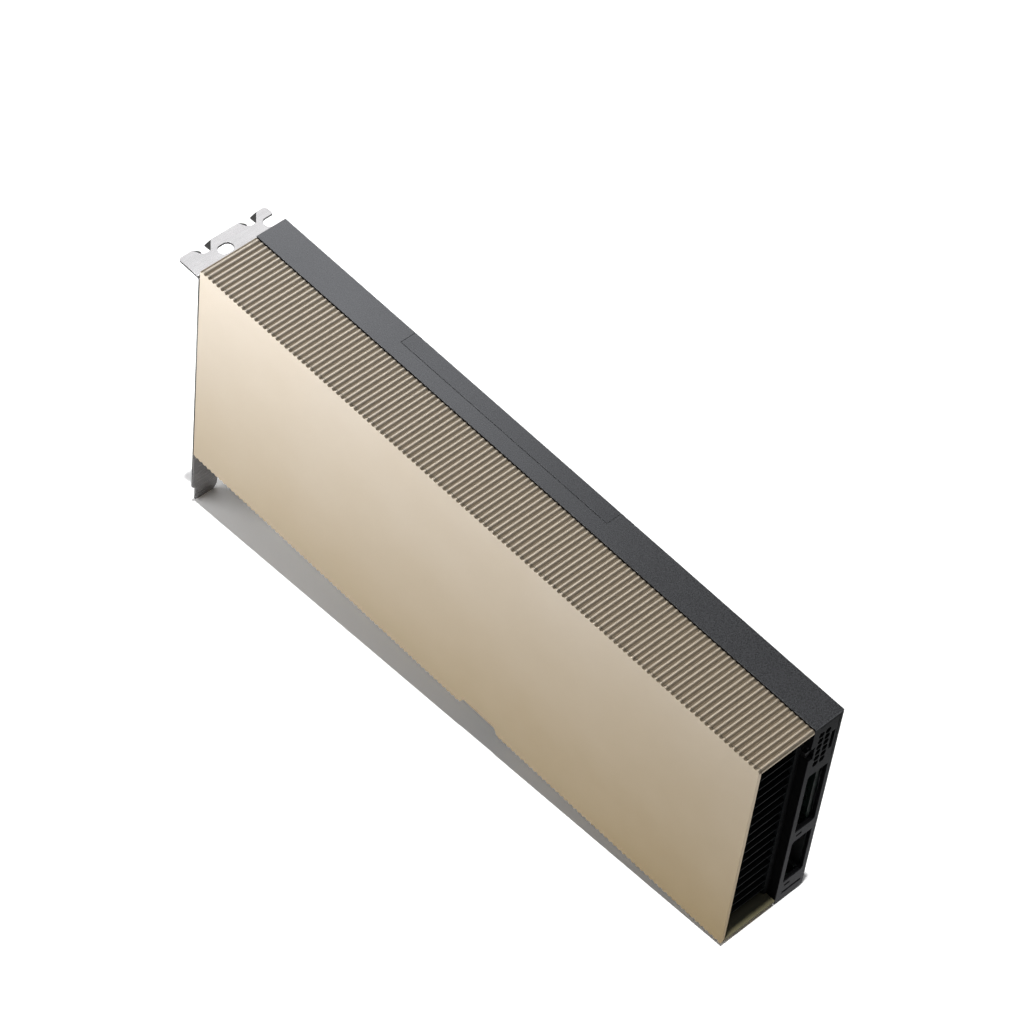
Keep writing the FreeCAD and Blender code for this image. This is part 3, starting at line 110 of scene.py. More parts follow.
# Materials, all procedural
class Shader:
    """A Principled material with helpers for procedural detail."""

    def __init__(self, name, base, rough, metallic=0.0, specular=0.5):
        self.material = bpy.data.materials.new(name)
        self.material.use_nodes = True
        self.tree = self.material.node_tree
        self.bsdf = self.tree.nodes["Principled BSDF"]
        self.bsdf.inputs["Base Color"].default_value = (*base, 1)
        self.bsdf.inputs["Roughness"].default_value = rough
        self.bsdf.inputs["Metallic"].default_value = metallic
        self.bsdf.inputs["Specular IOR Level"].default_value = specular
        self.place = self.node("ShaderNodeTexCoord").outputs["Object"]
        self.split = self.normal = None

    def node(self, kind, **settings):
        made = self.tree.nodes.new(kind)
        for key, value in settings.items():
            setattr(made, key, value)
        return made

    def wire(self, source, target):
        self.tree.links.new(source, target)

    def feed(self, socket, value):
        """Sets a socket to a colour or a number, or wires another socket to it."""
        if isinstance(value, tuple):
            socket.default_value = (*value, 1)
        elif isinstance(value, (int, float)):
            socket.default_value = value
        else:
            self.wire(value, socket)

    def stretch(self, x=1.0, y=1.0, z=1.0):
        mapping = self.node("ShaderNodeMapping")
        mapping.inputs["Scale"].default_value = (x, y, z)
        self.wire(self.place, mapping.inputs["Vector"])
        return mapping.outputs["Vector"]

    def noise(self, size_mm, detail=3.0, vector=None):
        noise = self.node("ShaderNodeTexNoise")
        noise.inputs["Scale"].default_value = 1000.0 / size_mm
        noise.inputs["Detail"].default_value = detail
        self.wire(vector or self.place, noise.inputs["Vector"])
        return noise.outputs["Fac"]

    def ramp(self, value, low, high, to_low=0.0, to_high=1.0):
        """Maps low..high to 0..1 or to the given range, and keeps what is outside at its ends."""
        ranged = self.node("ShaderNodeMapRange")
        ranged.inputs["From Min"].default_value = low
        ranged.inputs["From Max"].default_value = high
        ranged.inputs["To Min"].default_value = to_low
        ranged.inputs["To Max"].default_value = to_high
        self.wire(value, ranged.inputs["Value"])
        return ranged.outputs["Result"]

    def spread(self, noise, low, high):
        """Maps the middle of a noise to low..high."""
        return self.ramp(noise, 0.3, 0.7, low, high)

    def along(self, axis, low, high):
        """0 at the position low on the card and 1 at high, both in cooler millimetres."""
        if not self.split:
            self.split = self.node("ShaderNodeSeparateXYZ")
            self.wire(self.place, self.split.inputs["Vector"])
        shift = OFFSET["XYZ".index(axis)]
        return self.ramp(self.split.outputs[axis], (low + shift) / 1000, (high + shift) / 1000)

    def math(self, operation, first, second):
        made = self.node("ShaderNodeMath", operation=operation)
        self.feed(made.inputs[0], first)
        self.feed(made.inputs[1], second)
        return made.outputs[0]

    def blend(self, factor, low, high):
        """A colour between two, by factor."""
        mix = self.node("ShaderNodeMix", data_type="RGBA")
        self.feed(mix.inputs["Factor"], factor)
        self.feed(mix.inputs["A"], low)
        self.feed(mix.inputs["B"], high)
        return mix.outputs["Result"]

    def bump(self, height, distance_mm, strength):
        bump = self.node("ShaderNodeBump")
        bump.inputs["Distance"].default_value = distance_mm / 1000
        bump.inputs["Strength"].default_value = strength
        self.wire(height, bump.inputs["Height"])
        if self.normal:
            self.wire(self.normal, bump.inputs["Normal"])
        self.normal = bump.outputs["Normal"]

    def bevel(self, radius_mm):
        bevel = self.node("ShaderNodeBevel", samples=4)
        bevel.inputs["Radius"].default_value = radius_mm / 1000
        return bevel.outputs["Normal"]

    def soft_edges(self, radius_mm):
        """Rounds sharp edges in the shading."""
        self.normal = self.bevel(radius_mm)

    def edge_mask(self, radius_mm):
        """1 on an edge, 0 away from it."""
        geometry = self.node("ShaderNodeNewGeometry")
        dot = self.node("ShaderNodeVectorMath", operation="DOT_PRODUCT")
        self.wire(self.bevel(radius_mm), dot.inputs[0])
        self.wire(geometry.outputs["Normal"], dot.inputs[1])
        return self.ramp(dot.outputs["Value"], 0.99, 0.80)

    def done(self, colour, rough=None):
        self.wire(colour, self.bsdf.inputs["Base Color"])
        if rough:
            self.wire(rough, self.bsdf.inputs["Roughness"])
        if self.normal:
            self.wire(self.normal, self.bsdf.inputs["Normal"])
        return self.material


def scaled(colour, factor):
    return tuple(min(1.0, channel * factor) for channel in colour)


def anodised():
    """Bead-blasted anodised sheet, with painted light: paler towards its top front, and painted
    shade darkening its tone towards its lower rear corner and in its grooves.
    """
    pale, shaded_tone = (0.69, 0.622, 0.535), (0.42, 0.325, 0.185)
    groove_shade, dark_grain = (0.235, 0.195, 0.14), (0.25, 0.21, 0.15)
    shader = Shader("champagne_anodised", (0.63, 0.54, 0.42), 0.50, metallic=1.0)
    grain = shader.noise(0.22, 2.0)
    cloud = shader.noise(38.0, 3.0)
    # Painted light and shade: the tone darkens from the paler top towards the bottom and the rear
    # end, with a little random cloud
    depth = shader.math("MULTIPLY", shader.along("Z", HEIGHT, 0.0), 0.6)
    depth = shader.math("ADD", depth, shader.math("MULTIPLY", shader.along("X", 0.0, LENGTH), 0.4))
    depth = shader.math("ADD", depth, shader.spread(cloud, -0.04, 0.04))
    tone = shader.blend(depth, pale, shaded_tone)
    # Painted shade in the rib grooves, behind the front face
    upper = shader.math("MULTIPLY", shader.along("Z", HEIGHT - 1.3, HEIGHT - 1.2),
                        shader.along("Z", HEIGHT - 0.15, HEIGHT - GROOVE_DEPTH))
    lower = shader.math("MULTIPLY", shader.along("Z", 1.3, 1.2),
                        shader.along("Z", 0.15, GROOVE_DEPTH))
    behind_front = shader.along("Y", 0.02, 0.1)
    grooves = shader.math("MULTIPLY", shader.math("MAXIMUM", upper, lower), behind_front)
    tone = shader.blend(grooves, tone, groove_shade)
    speck = shader.blend(shader.spread(grain, 0.0, 0.7), tone, shader.blend(0.18, tone, dark_grain))
    shader.bump(grain, 0.010, 0.35)
    rough = shader.math("ADD", shader.spread(cloud, 0.485, 0.525),
                        shader.spread(grain, -0.02, 0.02))
    return shader.done(speck, rough)


def powder_coat(name, base, rough=0.28, inside=False):
    """Fine-textured coat, worn on its edges. With inside, the hollow side of the casting is dull
    and nearly black as painted shade, and painted shade darkens its rear end plate towards the top."""
    shader = Shader(name, base, rough, metallic=1.0)
    shader.bsdf.inputs["Specular Tint"].default_value = (0.55, 0.55, 0.55, 1)
    texture = shader.noise(0.35, 3.0)
    cloud = shader.noise(30.0, 2.0)
    tone = shader.blend(shader.spread(cloud, 0.0, 1.0), scaled(base, 0.97), scaled(base, 1.03))
    shader.soft_edges(0.18)
    patches = shader.spread(shader.noise(1.4, 4.0), 0.0, 0.5)
    scuffs = shader.math("MULTIPLY", shader.edge_mask(0.14), patches)
    colour = shader.blend(scuffs, tone, (0.42, 0.43, 0.45))
    roughness = shader.spread(texture, rough - 0.04, rough + 0.05)
    if inside:
        # Painted shade: the hollow side nearly black, and the end plate darker towards the top
        outer = shader.along("X", LENGTH - 0.5, LENGTH - 0.2)
        for axis, low, high in (("Z", HEIGHT - 0.6, HEIGHT - 0.3), ("Z", 0.4, 0.2),
                                ("X", 0.4, 0.2), ("Y", DEPTH - 0.4, DEPTH - 0.2)):
            outer = shader.math("MAXIMUM", outer, shader.along(axis, low, high))
        end_plate = shader.math("MULTIPLY", shader.along("X", LENGTH - 3.0, LENGTH - 2.0),
                                shader.along("Z", HEIGHT - 0.25, HEIGHT - 0.5))
        end_shade_tone = shader.blend(shader.along("Z", HEIGHT, 0.0), (0.010, 0.011, 0.012),
                                (0.07, 0.07, 0.074))
        end_shade_tone = shader.blend(scuffs, end_shade_tone, (0.20, 0.205, 0.215))
        outer_tone = shader.blend(end_plate, colour, end_shade_tone)
        colour = shader.blend(outer, (0.012, 0.012, 0.013), outer_tone)
        roughness = shader.blend(outer, (0.62, 0.62, 0.62), roughness)
    shader.bump(texture, 0.007, 0.4)
    return shader.done(colour, roughness)


def sheet_metal(name, base, rough, grain_mm, along="y", metallic=1.0, specular=0.5):
    """Metal with fine lines along X or Y."""
    shader = Shader(name, base, rough, metallic=metallic, specular=specular)
    factors = {"x": (0.04, 1, 1), "y": (1, 0.04, 1)}[along]
    lines = shader.noise(grain_mm, 2.0, shader.stretch(*factors))
    cloud = shader.noise(9.0, 3.0)
    shader.soft_edges(0.12)
    shader.bump(lines, 0.004, 0.4)
    tone = shader.blend(shader.spread(cloud, 0.0, 1.0), scaled(base, 0.94), scaled(base, 1.04))
    return shader.done(tone, shader.spread(lines, rough * 0.8, rough * 1.25))


def moulded(name, base, rough=0.5, specular=0.5):
    """Finely grained plastic or paint."""
    shader = Shader(name, base, rough, specular=specular)
    grain = shader.noise(0.3, 3.0)
    shader.soft_edges(0.15)
    shader.bump(grain, 0.012, 0.5)
    cloud = shader.noise(6.0, 2.0)
    tone = shader.blend(shader.spread(cloud, 0.0, 1.0), scaled(base, 0.85), scaled(base, 1.2))
    return shader.done(tone, shader.spread(grain, rough - 0.06, rough + 0.08))


def laminate():
    """Solder mask over fine copper tracks."""
    mask, copper = (0.006, 0.012, 0.009), (0.016, 0.028, 0.021)
    shader = Shader("solder_mask", mask, 0.36)
    brick = shader.node("ShaderNodeTexBrick")
    brick.inputs["Scale"].default_value = 160.0
    brick.inputs["Mortar Size"].default_value = 0.035
    brick.inputs["Color1"].default_value = (0, 0, 0, 1)
    brick.inputs["Color2"].default_value = (0.25, 0.25, 0.25, 1)
    brick.inputs["Mortar"].default_value = (1, 1, 1, 1)
    mapping = shader.node("ShaderNodeMapping")
    mapping.inputs["Rotation"].default_value = (math.radians(90), 0, math.radians(45))
    shader.wire(shader.place, mapping.inputs["Vector"])
    shader.wire(mapping.outputs["Vector"], brick.inputs["Vector"])
    patches = shader.spread(shader.noise(12.0, 3.0), 0.0, 1.0)
    tracks = shader.math("MULTIPLY", brick.outputs["Fac"], patches)
    colour = shader.blend(tracks, mask, copper)
    shader.bump(tracks, 0.03, 0.6)
    return shader.done(colour, shader.spread(shader.noise(0.8, 2.0), 0.26, 0.38))


def package_top(name, base, rough, speckle_mm=0.15):
    """Speckled surface of a chip, a pad or a core."""
    shader = Shader(name, base, rough)
    speckle = shader.noise(speckle_mm, 2.0)
    shader.soft_edges(0.1)
    shader.bump(speckle, 0.006, 0.6)
    tone = shader.blend(shader.spread(speckle, 0.0, 1.0), scaled(base, 0.75), scaled(base, 1.3))
    return shader.done(tone, shader.spread(speckle, rough - 0.05, rough + 0.05))


def rolled_fins():
    """Black coated fins with a paler sheared edge near the front, partly bare metal and partly a
    painted highlight, fading into painted shade towards the back.
    """
    shader = Shader("fin_coat", (0.008, 0.009, 0.010), 0.55, specular=0.05)
    lines = shader.noise(0.6, 2.0, shader.stretch(1, 0.08, 1))
    coat = shader.blend(shader.spread(lines, 0, 1), (0.006, 0.007, 0.008), (0.011, 0.013, 0.014))
    # Paler cut edge, partly bare metal and partly painted highlight, fading into painted shade
    # towards the back
    worn = shader.math("MULTIPLY", shader.edge_mask(0.12), shader.along("Y", 15.0, 3.0))
    colour = shader.blend(worn, coat, (0.026, 0.029, 0.030))
    shader.bump(lines, 0.004, 0.4)
    return shader.done(colour, shader.spread(lines, 0.45, 0.65))


def contact_gold():
    """Plated contacts with fine marks from being plugged in."""
    shader = Shader("plated_contact", (0.85, 0.60, 0.22), 0.25, metallic=1.0)
    marks = shader.noise(0.35, 3.0, shader.stretch(1, 1, 0.05))
    shader.bump(marks, 0.003, 0.5)
    tone = shader.blend(shader.spread(marks, 0, 1), (0.80, 0.55, 0.19), (0.90, 0.66, 0.27))
    return shader.done(tone, shader.spread(marks, 0.18, 0.34))


GOLD = anodised()
# The shroud's inner side: dull, and darker than the gold as painted shade
INSIDE_SHADE = moulded("shroud_inside_shade", (0.135, 0.124, 0.07), 0.7, specular=0.2)
BRIGHT = sheet_metal("bright_sheet", (0.62, 0.612, 0.622), 0.24, 0.5)
# Near-black for the bracket's cut edges, bend ends, corner tabs and notch lips: a painted dark
# reflection
DARK_REFLECTION_EDGE = sheet_metal("edge_in_painted_dark_reflection", (0.020, 0.0195, 0.019), 0.34, 0.25, metallic=0.0)
CONTACT = contact_gold()
RING = sheet_metal("ring_metal", (0.55, 0.55, 0.55), 0.3, 0.4, along="x")
PLASTIC = moulded("black_moulding", (0.006, 0.006, 0.0065), specular=0.12)
SCREW = sheet_metal("screw_metal", (0.05, 0.05, 0.055), 0.3, 0.3)
NODE_MATERIALS = {
    "mid_frame": powder_coat("dark_powder_coat", (0.155, 0.158, 0.167), inside=True),
    "backplate": powder_coat("backplate_coat", (0.22, 0.225, 0.235), rough=0.42),
    "bridge_port_cover": powder_coat("dark_cover_coat", (0.145, 0.148, 0.157)),
    "io_bracket": BRIGHT,
    "fin_stack": rolled_fins(),
    # The heatsink base is near-black, a painted shade far inside the shroud
    "heatsink_base": sheet_metal("base_in_painted_shade", (0.006, 0.0065, 0.007), 0.6, 0.5, along="x",
                                 metallic=0.0, specular=0.05),
    "rear_latch": PLASTIC,
    "power_connector": PLASTIC,
    "power_pins": CONTACT,
    "circuit_board": laminate(),
    "edge_contacts": CONTACT,
    "bridge_contacts": CONTACT,
    "retention_plate": RING,
    "processor_stiffener": RING,
    "backplate_screws": SCREW,
    "heatsink_screws": SCREW,
    "bracket_screws": SCREW,
    "processor_substrate": package_top("package_green", (0.02, 0.07, 0.035), 0.4, 0.5),
    "processor_die": package_top("silicon", (0.10, 0.11, 0.14), 0.12, 2.0),
    "memory_stacks": package_top("memory_epoxy", (0.02, 0.02, 0.021), 0.35),
    "power_stages": package_top("stage_epoxy", (0.018, 0.018, 0.018), 0.45),
    "controller_chips": package_top("chip_epoxy", (0.016, 0.016, 0.017), 0.45),
    "inductors": package_top("ferrite", (0.07, 0.07, 0.074), 0.6, 0.3),
    "capacitors": sheet_metal("capacitor_can", (0.62, 0.62, 0.64), 0.28, 0.5),
    "thermal_pads": package_top("pad_silicone", (0.30, 0.34, 0.40), 0.8, 0.4),
}
for node, material in NODE_MATERIALS.items():
    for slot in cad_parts[node].material_slots:
        slot.material = material


# Shroud: rounded ribs above and below, scalloped edges and a notch, in fine mesh
def rib_drop(x):
    """How far the ribbed surface lies below its highest line at this x, from 0 to 1."""
    phase = (x - GROOVE_FIRST) / RIB_PITCH
    return ((1 + math.cos(2 * math.pi * phase)) / 2) ** RIB_SHARPNESS


def notch_rise(x):
    """Height of the notch in the lower edge at this x."""
    lead = min((x - NOTCH_START) / NOTCH_LEAD, (NOTCH_END - x) / NOTCH_LEAD, 1.0)
    return NOTCH_RISE * max(0.0, lead)


def rib_end(y):
    """Height of a rib, from 0 to 1, which is rounded off near the shroud's back edge."""
    past = max(0.0, (y - (SHROUD_DEPTH - RIB_END_RUN)) / RIB_END_RUN)
    return 1 - RIB_END_DROP * (1 - math.sqrt(max(0.0, 1 - past * past)))


def stations(low, high):
    """X stations, evenly spaced, with more at the ends and at the notch's corners."""
    count = round((high - low) / (RIB_PITCH / STATIONS_PER_RIB))
    row = [low + (high - low) * index / count for index in range(count + 1)]
    near, far = 0.35 * END_ROUNDING, END_ROUNDING
    extra = [low + near, low + far, high - far, high - near]
    extra += [x for x in (NOTCH_START, NOTCH_START + NOTCH_LEAD, NOTCH_END - NOTCH_LEAD, NOTCH_END)
              if low < x < high]
    return sorted(set(round(x, 4) for x in row + extra))


def end_ease(x):
    """Rounding of the shroud's two ends: how far a surface is pulled in at this x."""
    inwards = max(0.0, END_ROUNDING - min(x, LENGTH - x))
    return END_ROUNDING - math.sqrt(max(0.0, END_ROUNDING * END_ROUNDING - inwards ** 2))


def edge_rows(x):
    """Upper and lower outline heights of the front plate at this x."""
    top = HEIGHT - GROOVE_DEPTH * rib_drop(x) - end_ease(x)
    bottom = GROOVE_DEPTH * rib_drop(x) + end_ease(x)
    return top, max(notch_rise(x), bottom)


def strip(bm, rows, flat=()):
    """Quads between neighbouring rows of vertices, smooth but for the columns named flat."""
    for first, second in zip(rows, rows[1:]):
        for index in range(len(first) - 1):
            face = bm.faces.new((first[index], first[index + 1], second[index + 1], second[index]))
            face.smooth = index not in flat


def swept(bm, rings, flat=()):
    """A closed solid through rings of vertices."""
    strip(bm, [ring + [ring[0]] for ring in rings], flat)
    bm.faces.new(rings[0])
    bm.faces.new(rings[-1])


def front_plate(bm):
    """The flat front with its scalloped long edges and the notch."""
    rings = []
    for x in stations(0.0, LENGTH):
        top, bottom = edge_rows(x)
        front = end_ease(x)
        round_end, round_middle = front + EDGE_ROUNDING, front + EDGE_ROUNDING / 4
        section = [(FRONT_WALL, bottom), (round_end, bottom),
                   (round_middle, bottom + EDGE_ROUNDING / 4), (front, bottom + EDGE_ROUNDING),
                   (front, bottom + 0.3), (front, bottom + 4.0),
                   (front, HEIGHT - 4.0), (front, top - 0.3), (front, top - EDGE_ROUNDING),
                   (round_middle, top - EDGE_ROUNDING / 4), (round_end, top), (FRONT_WALL, top)]
        rings.append([bm.verts.new(at(x, y, z)) for y, z in section])
    swept(bm, rings, flat=(1, 2, 8, 9))


def ribbed_wall(bm, low, high, top_side):
    """A stretch of one folded wall, ribbed outside and flat inside."""
    root = FRONT_WALL - WALL_OVERLAP
    ys = [root, 6.0, 12.0, 18.0]
    for row in range(RIB_END_ROWS):
        angle = math.pi / 2 * row / (RIB_END_ROWS - 1)
        ys.append(SHROUD_DEPTH - RIB_END_RUN * (1 - math.sin(angle)))
    rings = []
    for x in stations(low, high):
        section = []
        for y in ys:
            fall = GROOVE_DEPTH * (1 - (1 - rib_drop(x)) * rib_end(y)) + end_ease(x)
            section.append((y, fall))
        section += [(SHROUD_DEPTH, RIBBED_WALL), (root, RIBBED_WALL)]
        rings.append([bm.verts.new(at(x, y, HEIGHT - z if top_side else z)) for y, z in section])
    swept(bm, rings)


def make_shroud():
    bm = bmesh.new()
    front_plate(bm)
    ribbed_wall(bm, 0.0, LENGTH, True)
    ribbed_wall(bm, 0.0, NOTCH_START, False)
    ribbed_wall(bm, NOTCH_END, LENGTH, False)
    bmesh.ops.recalc_face_normals(bm, faces=bm.faces)
    for edge in bm.edges:
        if len(edge.link_faces) == 2 and edge.calc_face_angle(0) > math.radians(CREASE_DEGREES):
            edge.smooth = False
    # The walls' inner faces and the lower wall's rear end have the inside's material, darkened as
    # painted shade
    inner = [at(0, 0, z).z for z in (RIBBED_WALL, HEIGHT - RIBBED_WALL)]
    rear = at(LENGTH - 0.001, 0, 0).x
    for face in bm.faces:
        flat = any(all(abs(vert.co.z - level) < 1e-6 for vert in face.verts) for level in inner)
        end = all(vert.co.x > rear and vert.co.z < inner[0] + 1e-6 for vert in face.verts)
        if flat or end:
            face.material_index = 1
    mesh = mesh_from("ribbed_shroud", bm)
    shroud = link("ribbed_shroud", mesh, materials=(GOLD, INSIDE_SHADE))
    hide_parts("cooler_shroud")


# Bracket: sheet with bevelled edges, rolled notches and folded corner tabs
# Slots of the bracket: bright sheet, and near-black faces that carry a painted dark reflection
POLISHED, DARK_REFLECTING = 0, 1


def arc_corner(before, corner, after, radius):
    """Points of a rounded corner."""
    corner = Vector(corner)
    to_before = (Vector(before) - corner).normalized()
    to_after = (Vector(after) - corner).normalized()
    angle = to_before.angle(to_after)
    reach = radius / math.tan(angle / 2)
    start, end = corner + to_before * reach, corner + to_after * reach
    centre = corner + (to_before + to_after).normalized() * radius / math.sin(angle / 2)
    points = []
    for step in range(7):
        spoke = start.lerp(end, step / 6) - centre
        points.append(centre + spoke.normalized() * radius)
    return points


def rounded_outline(corners):
    """An outline from (x, y, radius) corners."""
    outline = []
    for index, (x, y, radius) in enumerate(corners):
        before, after = corners[index - 1][:2], corners[(index + 1) % len(corners)][:2]
        if radius > 0:
            outline += arc_corner(before, (x, y), after, radius)
        else:
            outline.append(Vector((x, y)))
    return outline


def sheet_piece(outlines, thickness, place, bevel=0.07):
    """A flat sheet with holes, in metres, its mid plane moved by the matrix."""
    curve = bpy.data.curves.new("outline", "CURVE")
    curve.dimensions = "2D"
    curve.fill_mode = "BOTH"
    curve.extrude = (thickness / 2 - bevel) / 1000
    curve.bevel_depth = bevel / 1000
    curve.bevel_resolution = 2
    curve.offset = -bevel / 1000
    for outline in outlines:
        spline = curve.splines.new("POLY")
        spline.points.add(len(outline) - 1)
        for point, corner in zip(spline.points, outline):
            point.co = (corner[0] / 1000, corner[1] / 1000, 0, 1)
        spline.use_cyclic_u = True
    holder = bpy.data.objects.new("outline", curve)
    mesh = bpy.data.meshes.new_from_object(holder)
    bpy.data.objects.remove(holder)
    # Cut edges take the near-black, a painted dark reflection
    for face in mesh.polygons:
        face.material_index = DARK_REFLECTING if abs(face.normal.z) < 0.4 else POLISHED
    mesh.transform(place)
    return mesh


def fold_outline():
    """Outline of the fold with its lead-in notches, its open screw slot and its closed one."""
    edge, hinge = -FOLD_DEPTH, -BEND_RADIUS - SHEET
    (left, right), (near, far), rounding = SCREW_SLOT_X, CLOSED_SLOT_Y, SCREW_SLOT_ROUNDING
    corners = [(hinge, BRACKET_NEAR, 0), (edge, BRACKET_NEAR, 1.2)]
    for slot in range(SLOTS):
        corners += [(x, y + SLOT_PITCH * slot, radius) for x, y, radius in LEAD_NOTCH]
    corners += [(edge, BRACKET_FAR, 1.4), (left, BRACKET_FAR, 0.5), (left, OPEN_SLOT_Y, rounding),
                (right, OPEN_SLOT_Y, rounding), (right, BRACKET_FAR, 0.3), (hinge, BRACKET_FAR, 0)]
    closed_slot = ((left, near), (right, near), (right, far), (left, far))
    return [rounded_outline(corners), rounded_outline([(x, y, rounding) for x, y in closed_slot])]


def plate_outline():
    """Outline of the upright plate with its feet and vents, across it and up."""
    shoulder, tip = SHELF + SHEET - SHOULDER_HEIGHT, SHELF + SHEET - BRACKET_HEIGHT
    corners = [(BRACKET_NEAR, shoulder + 0.7, 0.5), (BRACKET_NEAR + 0.8, shoulder, 0.3)]
    for foot in range(SLOTS):
        left = BRACKET_NEAR + FOOT_INSET + SLOT_PITCH * foot
        right = left + FOOT_WIDTH
        corners += [(left, shoulder, 0.3), (left, tip + 0.4, 0), (left + 1.4, tip, 0.8),
                    (right - 1.6, tip, 0.8), (right, tip + 2.2, 0.8), (right, shoulder, 0.3)]
    corners += [(BRACKET_FAR - 1.0, shoulder, 0.4), (BRACKET_FAR, shoulder + 2.6, 0.6),
                (BRACKET_FAR, SHELF - BEND_RADIUS, 0), (BRACKET_NEAR, SHELF - BEND_RADIUS, 0)]
    outlines = [rounded_outline(corners)]
    for row in range(VENT_ROWS):
        low = VENT_LOWEST - VENT_WIDTH / 2 + VENT_RISE * row
        high = low + VENT_WIDTH
        for column in range(VENT_COLUMNS):
            left = BRACKET_NEAR + VENT_SIDE + VENT_STEP * column
            right = left + VENT_LENGTH
            vent = ((left, low), (right, low), (right, high), (left, high))
            outlines.append(rounded_outline([(x, y, VENT_ROUNDING) for x, y in vent]))
    return outlines


def bend_mesh():
    """Quarter round between the plate and the fold."""
    bm = bmesh.new()
    inner, outer = BEND_RADIUS, BEND_RADIUS + SHEET
    section = ((inner, BRACKET_NEAR), (outer, BRACKET_NEAR),
               (outer, BRACKET_FAR), (inner, BRACKET_FAR))
    rings = []
    for step in range(11):
        angle = math.pi / 2 * step / 10
        ring = []
        for radius, y in section:
            x = -SHEET - inner + radius * math.cos(angle)
            z = SHELF - inner + radius * math.sin(angle)
            ring.append(bm.verts.new(at(x, y, z)))
        rings.append(ring)
    swept(bm, rings)
    mesh = mesh_from("bend", bm)
    # The bend's ends take the near-black, a painted dark reflection
    for face in mesh.polygons:
        face.material_index = DARK_REFLECTING if abs(face.normal.y) > 0.9 else POLISHED
    return mesh


def notch_lip(shift):
    """Outline of the lip rolled into a notch at its near end."""
    low, high = (Vector((x, y + shift)) for x, y in LIP_ENDS)
    outline = []
    for step in range(13):
        part = step / 12
        outline.append(low.lerp(high, part) + Vector(LIP_BULGE) * math.sin(math.pi * part))
    return outline + [high + Vector((-0.1, -0.5)), low + Vector((0.1, -0.4))]


def corner_tab(shift):
    """Corner of the fold bent down beside a notch."""
    hinge_a, hinge_b = (Vector((x, y + shift, 0)) for x, y in TAB_HINGE)
    tip = Vector((TAB_TIP[0], TAB_TIP[1] + shift, 0))
    axis = (hinge_b - hinge_a).normalized()
    turn = Matrix.Rotation(math.radians(TAB_DEGREES), 3, axis)
    swung = hinge_a + turn @ (tip - hinge_a)
    normal = (swung - hinge_a).cross(axis).normalized()
    if normal.z < 0:
        normal = -normal
    top = SHELF + SHEET - TAB_SINK
    corners = (hinge_a, hinge_b, swung)
    below = Vector((0, 0, top)) - normal * SHEET * 0.8
    bm = bmesh.new()
    upper = [bm.verts.new(at(corner.x, corner.y, top + corner.z)) for corner in corners]
    lower = [bm.verts.new(at(*(corner + below))) for corner in corners]
    bm.faces.new(upper)
    bm.faces.new(lower[::-1])
    for index in range(3):
        following = (index + 1) % 3
        bm.faces.new((upper[index], lower[index], lower[following], upper[following]))
    bmesh.ops.recalc_face_normals(bm, faces=bm.faces)
    bmesh.ops.bevel(bm, geom=bm.edges[:], offset=TAB_ROUNDING_M, segments=2, affect="EDGES")
    # The whole tab is near-black, a painted dark reflection
    for face in bm.faces:
        face.material_index = DARK_REFLECTING
    return mesh_from("tab", bm)


def make_bracket():
    flat = Matrix.Translation(at(0, 0, SHELF + SHEET / 2))
    # A sheet's own X, Y and Z become the card's Y, Z and X
    on_edge = Matrix(((0, 0, 1, 0), (1, 0, 0, 0), (0, 1, 0, 0), (0, 0, 0, 1)))
    upright = Matrix.Translation(at(-SHEET / 2, 0, 0)) @ on_edge
    meshes = [sheet_piece(fold_outline(), SHEET, flat),
              sheet_piece(plate_outline(), SHEET, upright),
              bend_mesh(), corner_tab(0.0), corner_tab(SLOT_PITCH)]
    lip_place = Matrix.Translation(at(0, 0, SHELF + SHEET * 0.75))
    for shift in (0.0, SLOT_PITCH):
        lip = sheet_piece([notch_lip(shift)], SHEET * 0.4, lip_place, bevel=0.03)
        # The lips are near-black, a painted dark reflection
        for face in lip.polygons:
            face.material_index = DARK_REFLECTING
        meshes.append(lip)
    bm = bmesh.new()
    for mesh in meshes:
        bm.from_mesh(mesh)
    mesh = mesh_from("sheet_bracket", bm)
    bracket = link("sheet_bracket", mesh, materials=(BRIGHT, DARK_REFLECTION_EDGE))
    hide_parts("io_bracket")


# Stage: pale floor, lamps and camera
def floor_paper():
    """Matt paper that is white for the camera and a pale backdrop in gloss."""
    shader = Shader("floor_paper", (FLOOR_TONE,) * 3, 0.9, specular=0.0)
    path = shader.node("ShaderNodeLightPath")
    mirrored = shader.math("MAXIMUM", path.outputs["Is Glossy Ray"],
                           path.outputs["Is Transmission Ray"])
    tone = shader.blend(mirrored, (FLOOR_TONE,) * 3, (FLOOR_MIRRORED,) * 3)
    return shader.done(shader.blend(path.outputs["Is Camera Ray"], tone, (FLOOR_SEEN,) * 3))


def make_floor():
    (foot_x, foot_z), (middle_x, middle_z) = FLOOR_AT_FOOT, FLOOR_AT_MIDDLE
    foot, slope = at(foot_x, 0, foot_z), (middle_z - foot_z) / (middle_x - foot_x)
    bm = bmesh.new()
    verts = []
    for x, y in ((-1, -1), (1, -1), (1, 1), (-1, 1)):
        x, y = x * FLOOR_REACH_M, y * FLOOR_REACH_M
        verts.append(bm.verts.new((foot.x + x, y, foot.z + slope * x)))
    bm.faces.new(verts)
    floor = link("floor", mesh_from("floor", bm), body=None)
    floor.data.materials.append(floor_paper())


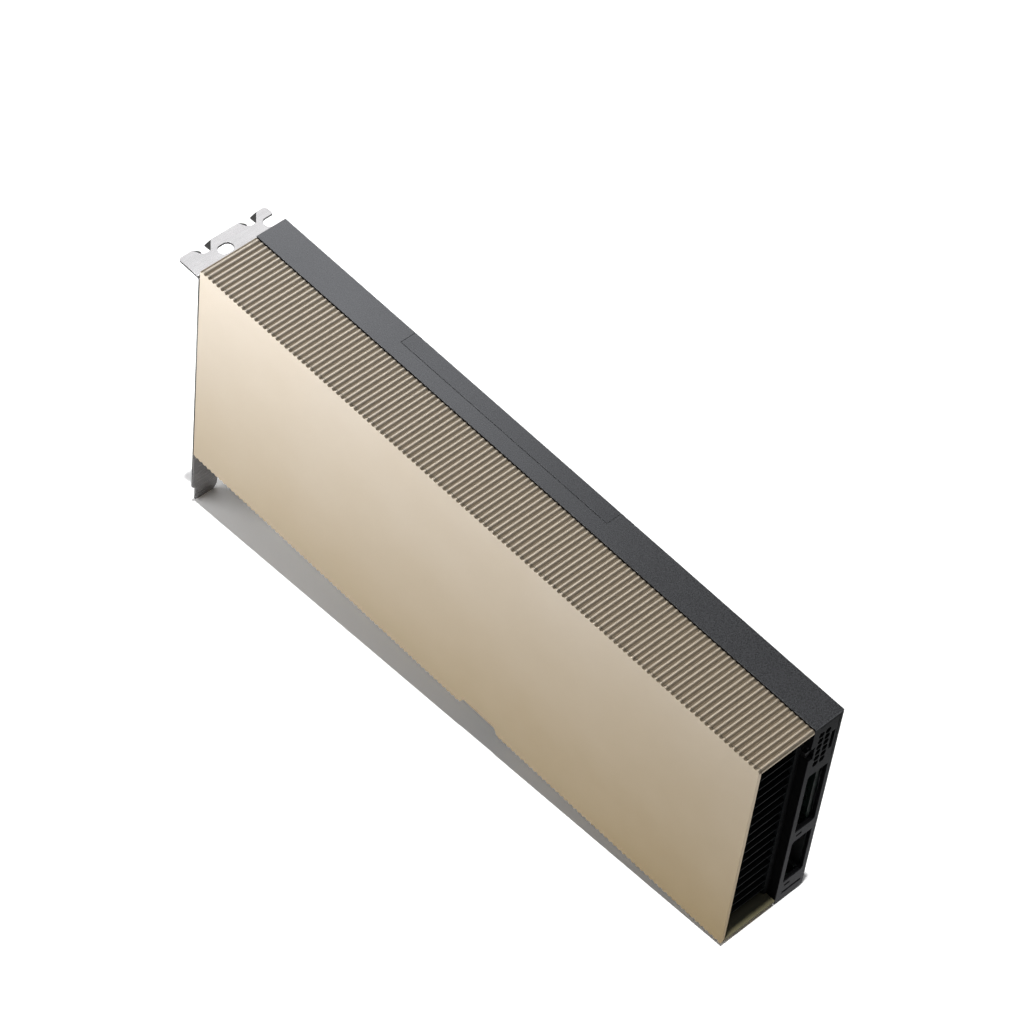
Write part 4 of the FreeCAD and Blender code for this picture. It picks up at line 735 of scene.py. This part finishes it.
def facing(direction):
    """The turn of a lamp that shines in this direction."""
    return direction.to_track_quat("-Z", "Y").to_euler()


def area_light(name, place, target, width, height, power):
    light = bpy.data.lights.new(name, "AREA")
    light.shape = "RECTANGLE"
    light.size, light.size_y = width, height
    light.energy = power
    lamp = new_object(name, light)
    lamp.location = place
    lamp.rotation_euler = facing(Vector(target) - Vector(place))


def overhead_light(name, degrees_wide, power, for_gloss):
    """A distant lamp above the card, for either its gloss or all else."""
    light = bpy.data.lights.new(name, "SUN")
    light.energy = power
    light.angle = math.radians(degrees_wide)
    lamp = new_object(name, light)
    lamp.rotation_euler = facing(Vector((-0.01, 0.045, -1.0)))
    lamp.visible_glossy = for_gloss
    lamp.visible_diffuse = not for_gloss


def make_light():
    world = bpy.data.worlds.new("studio")
    bpy.context.scene.world = world
    world.use_nodes = True
    background = world.node_tree.nodes["Background"]
    background.inputs["Color"].default_value = (1, 1, 1, 1)
    background.inputs["Strength"].default_value = 0.09
    overhead_light("overhead", 1.2, 2.9, for_gloss=False)
    overhead_light("overhead_softbox", 42, 2.6, for_gloss=True)
    low_target = (0.08, -0.02, -0.03)
    area_light("low_front_softbox", (-0.22, -0.32, -0.02), low_target, 0.48, 0.19, 1.75)
    area_light("back_softbox", (-0.60, 0.42, 0.62), (0.0, 0.0, 0.0), 0.62, 0.62, 1.45)
    area_light("low_back_softbox", (-0.50, 0.35, 0.15), low_target, 0.30, 0.30, 0.22)


def make_camera():
    data = bpy.data.cameras.new("camera")
    data.sensor_width = SENSOR_MM
    data.lens = FOCAL_PIXELS * SENSOR_MM / FRAME_PIXELS
    data.clip_end = 20
    camera = new_object("camera", data)
    right, ahead = Vector(CAMERA_RIGHT).normalized(), Vector(CAMERA_AHEAD).normalized()
    up = right.cross(ahead).normalized()
    turn = Matrix((right, up, -ahead)).transposed().to_4x4()
    camera.matrix_world = Matrix.Translation(at(*CAMERA_PLACE)) @ turn
    bpy.context.scene.camera = camera


make_shroud()
make_bracket()
make_floor()
make_light()
make_camera()
bpy.context.scene.view_settings.view_transform = "Standard"
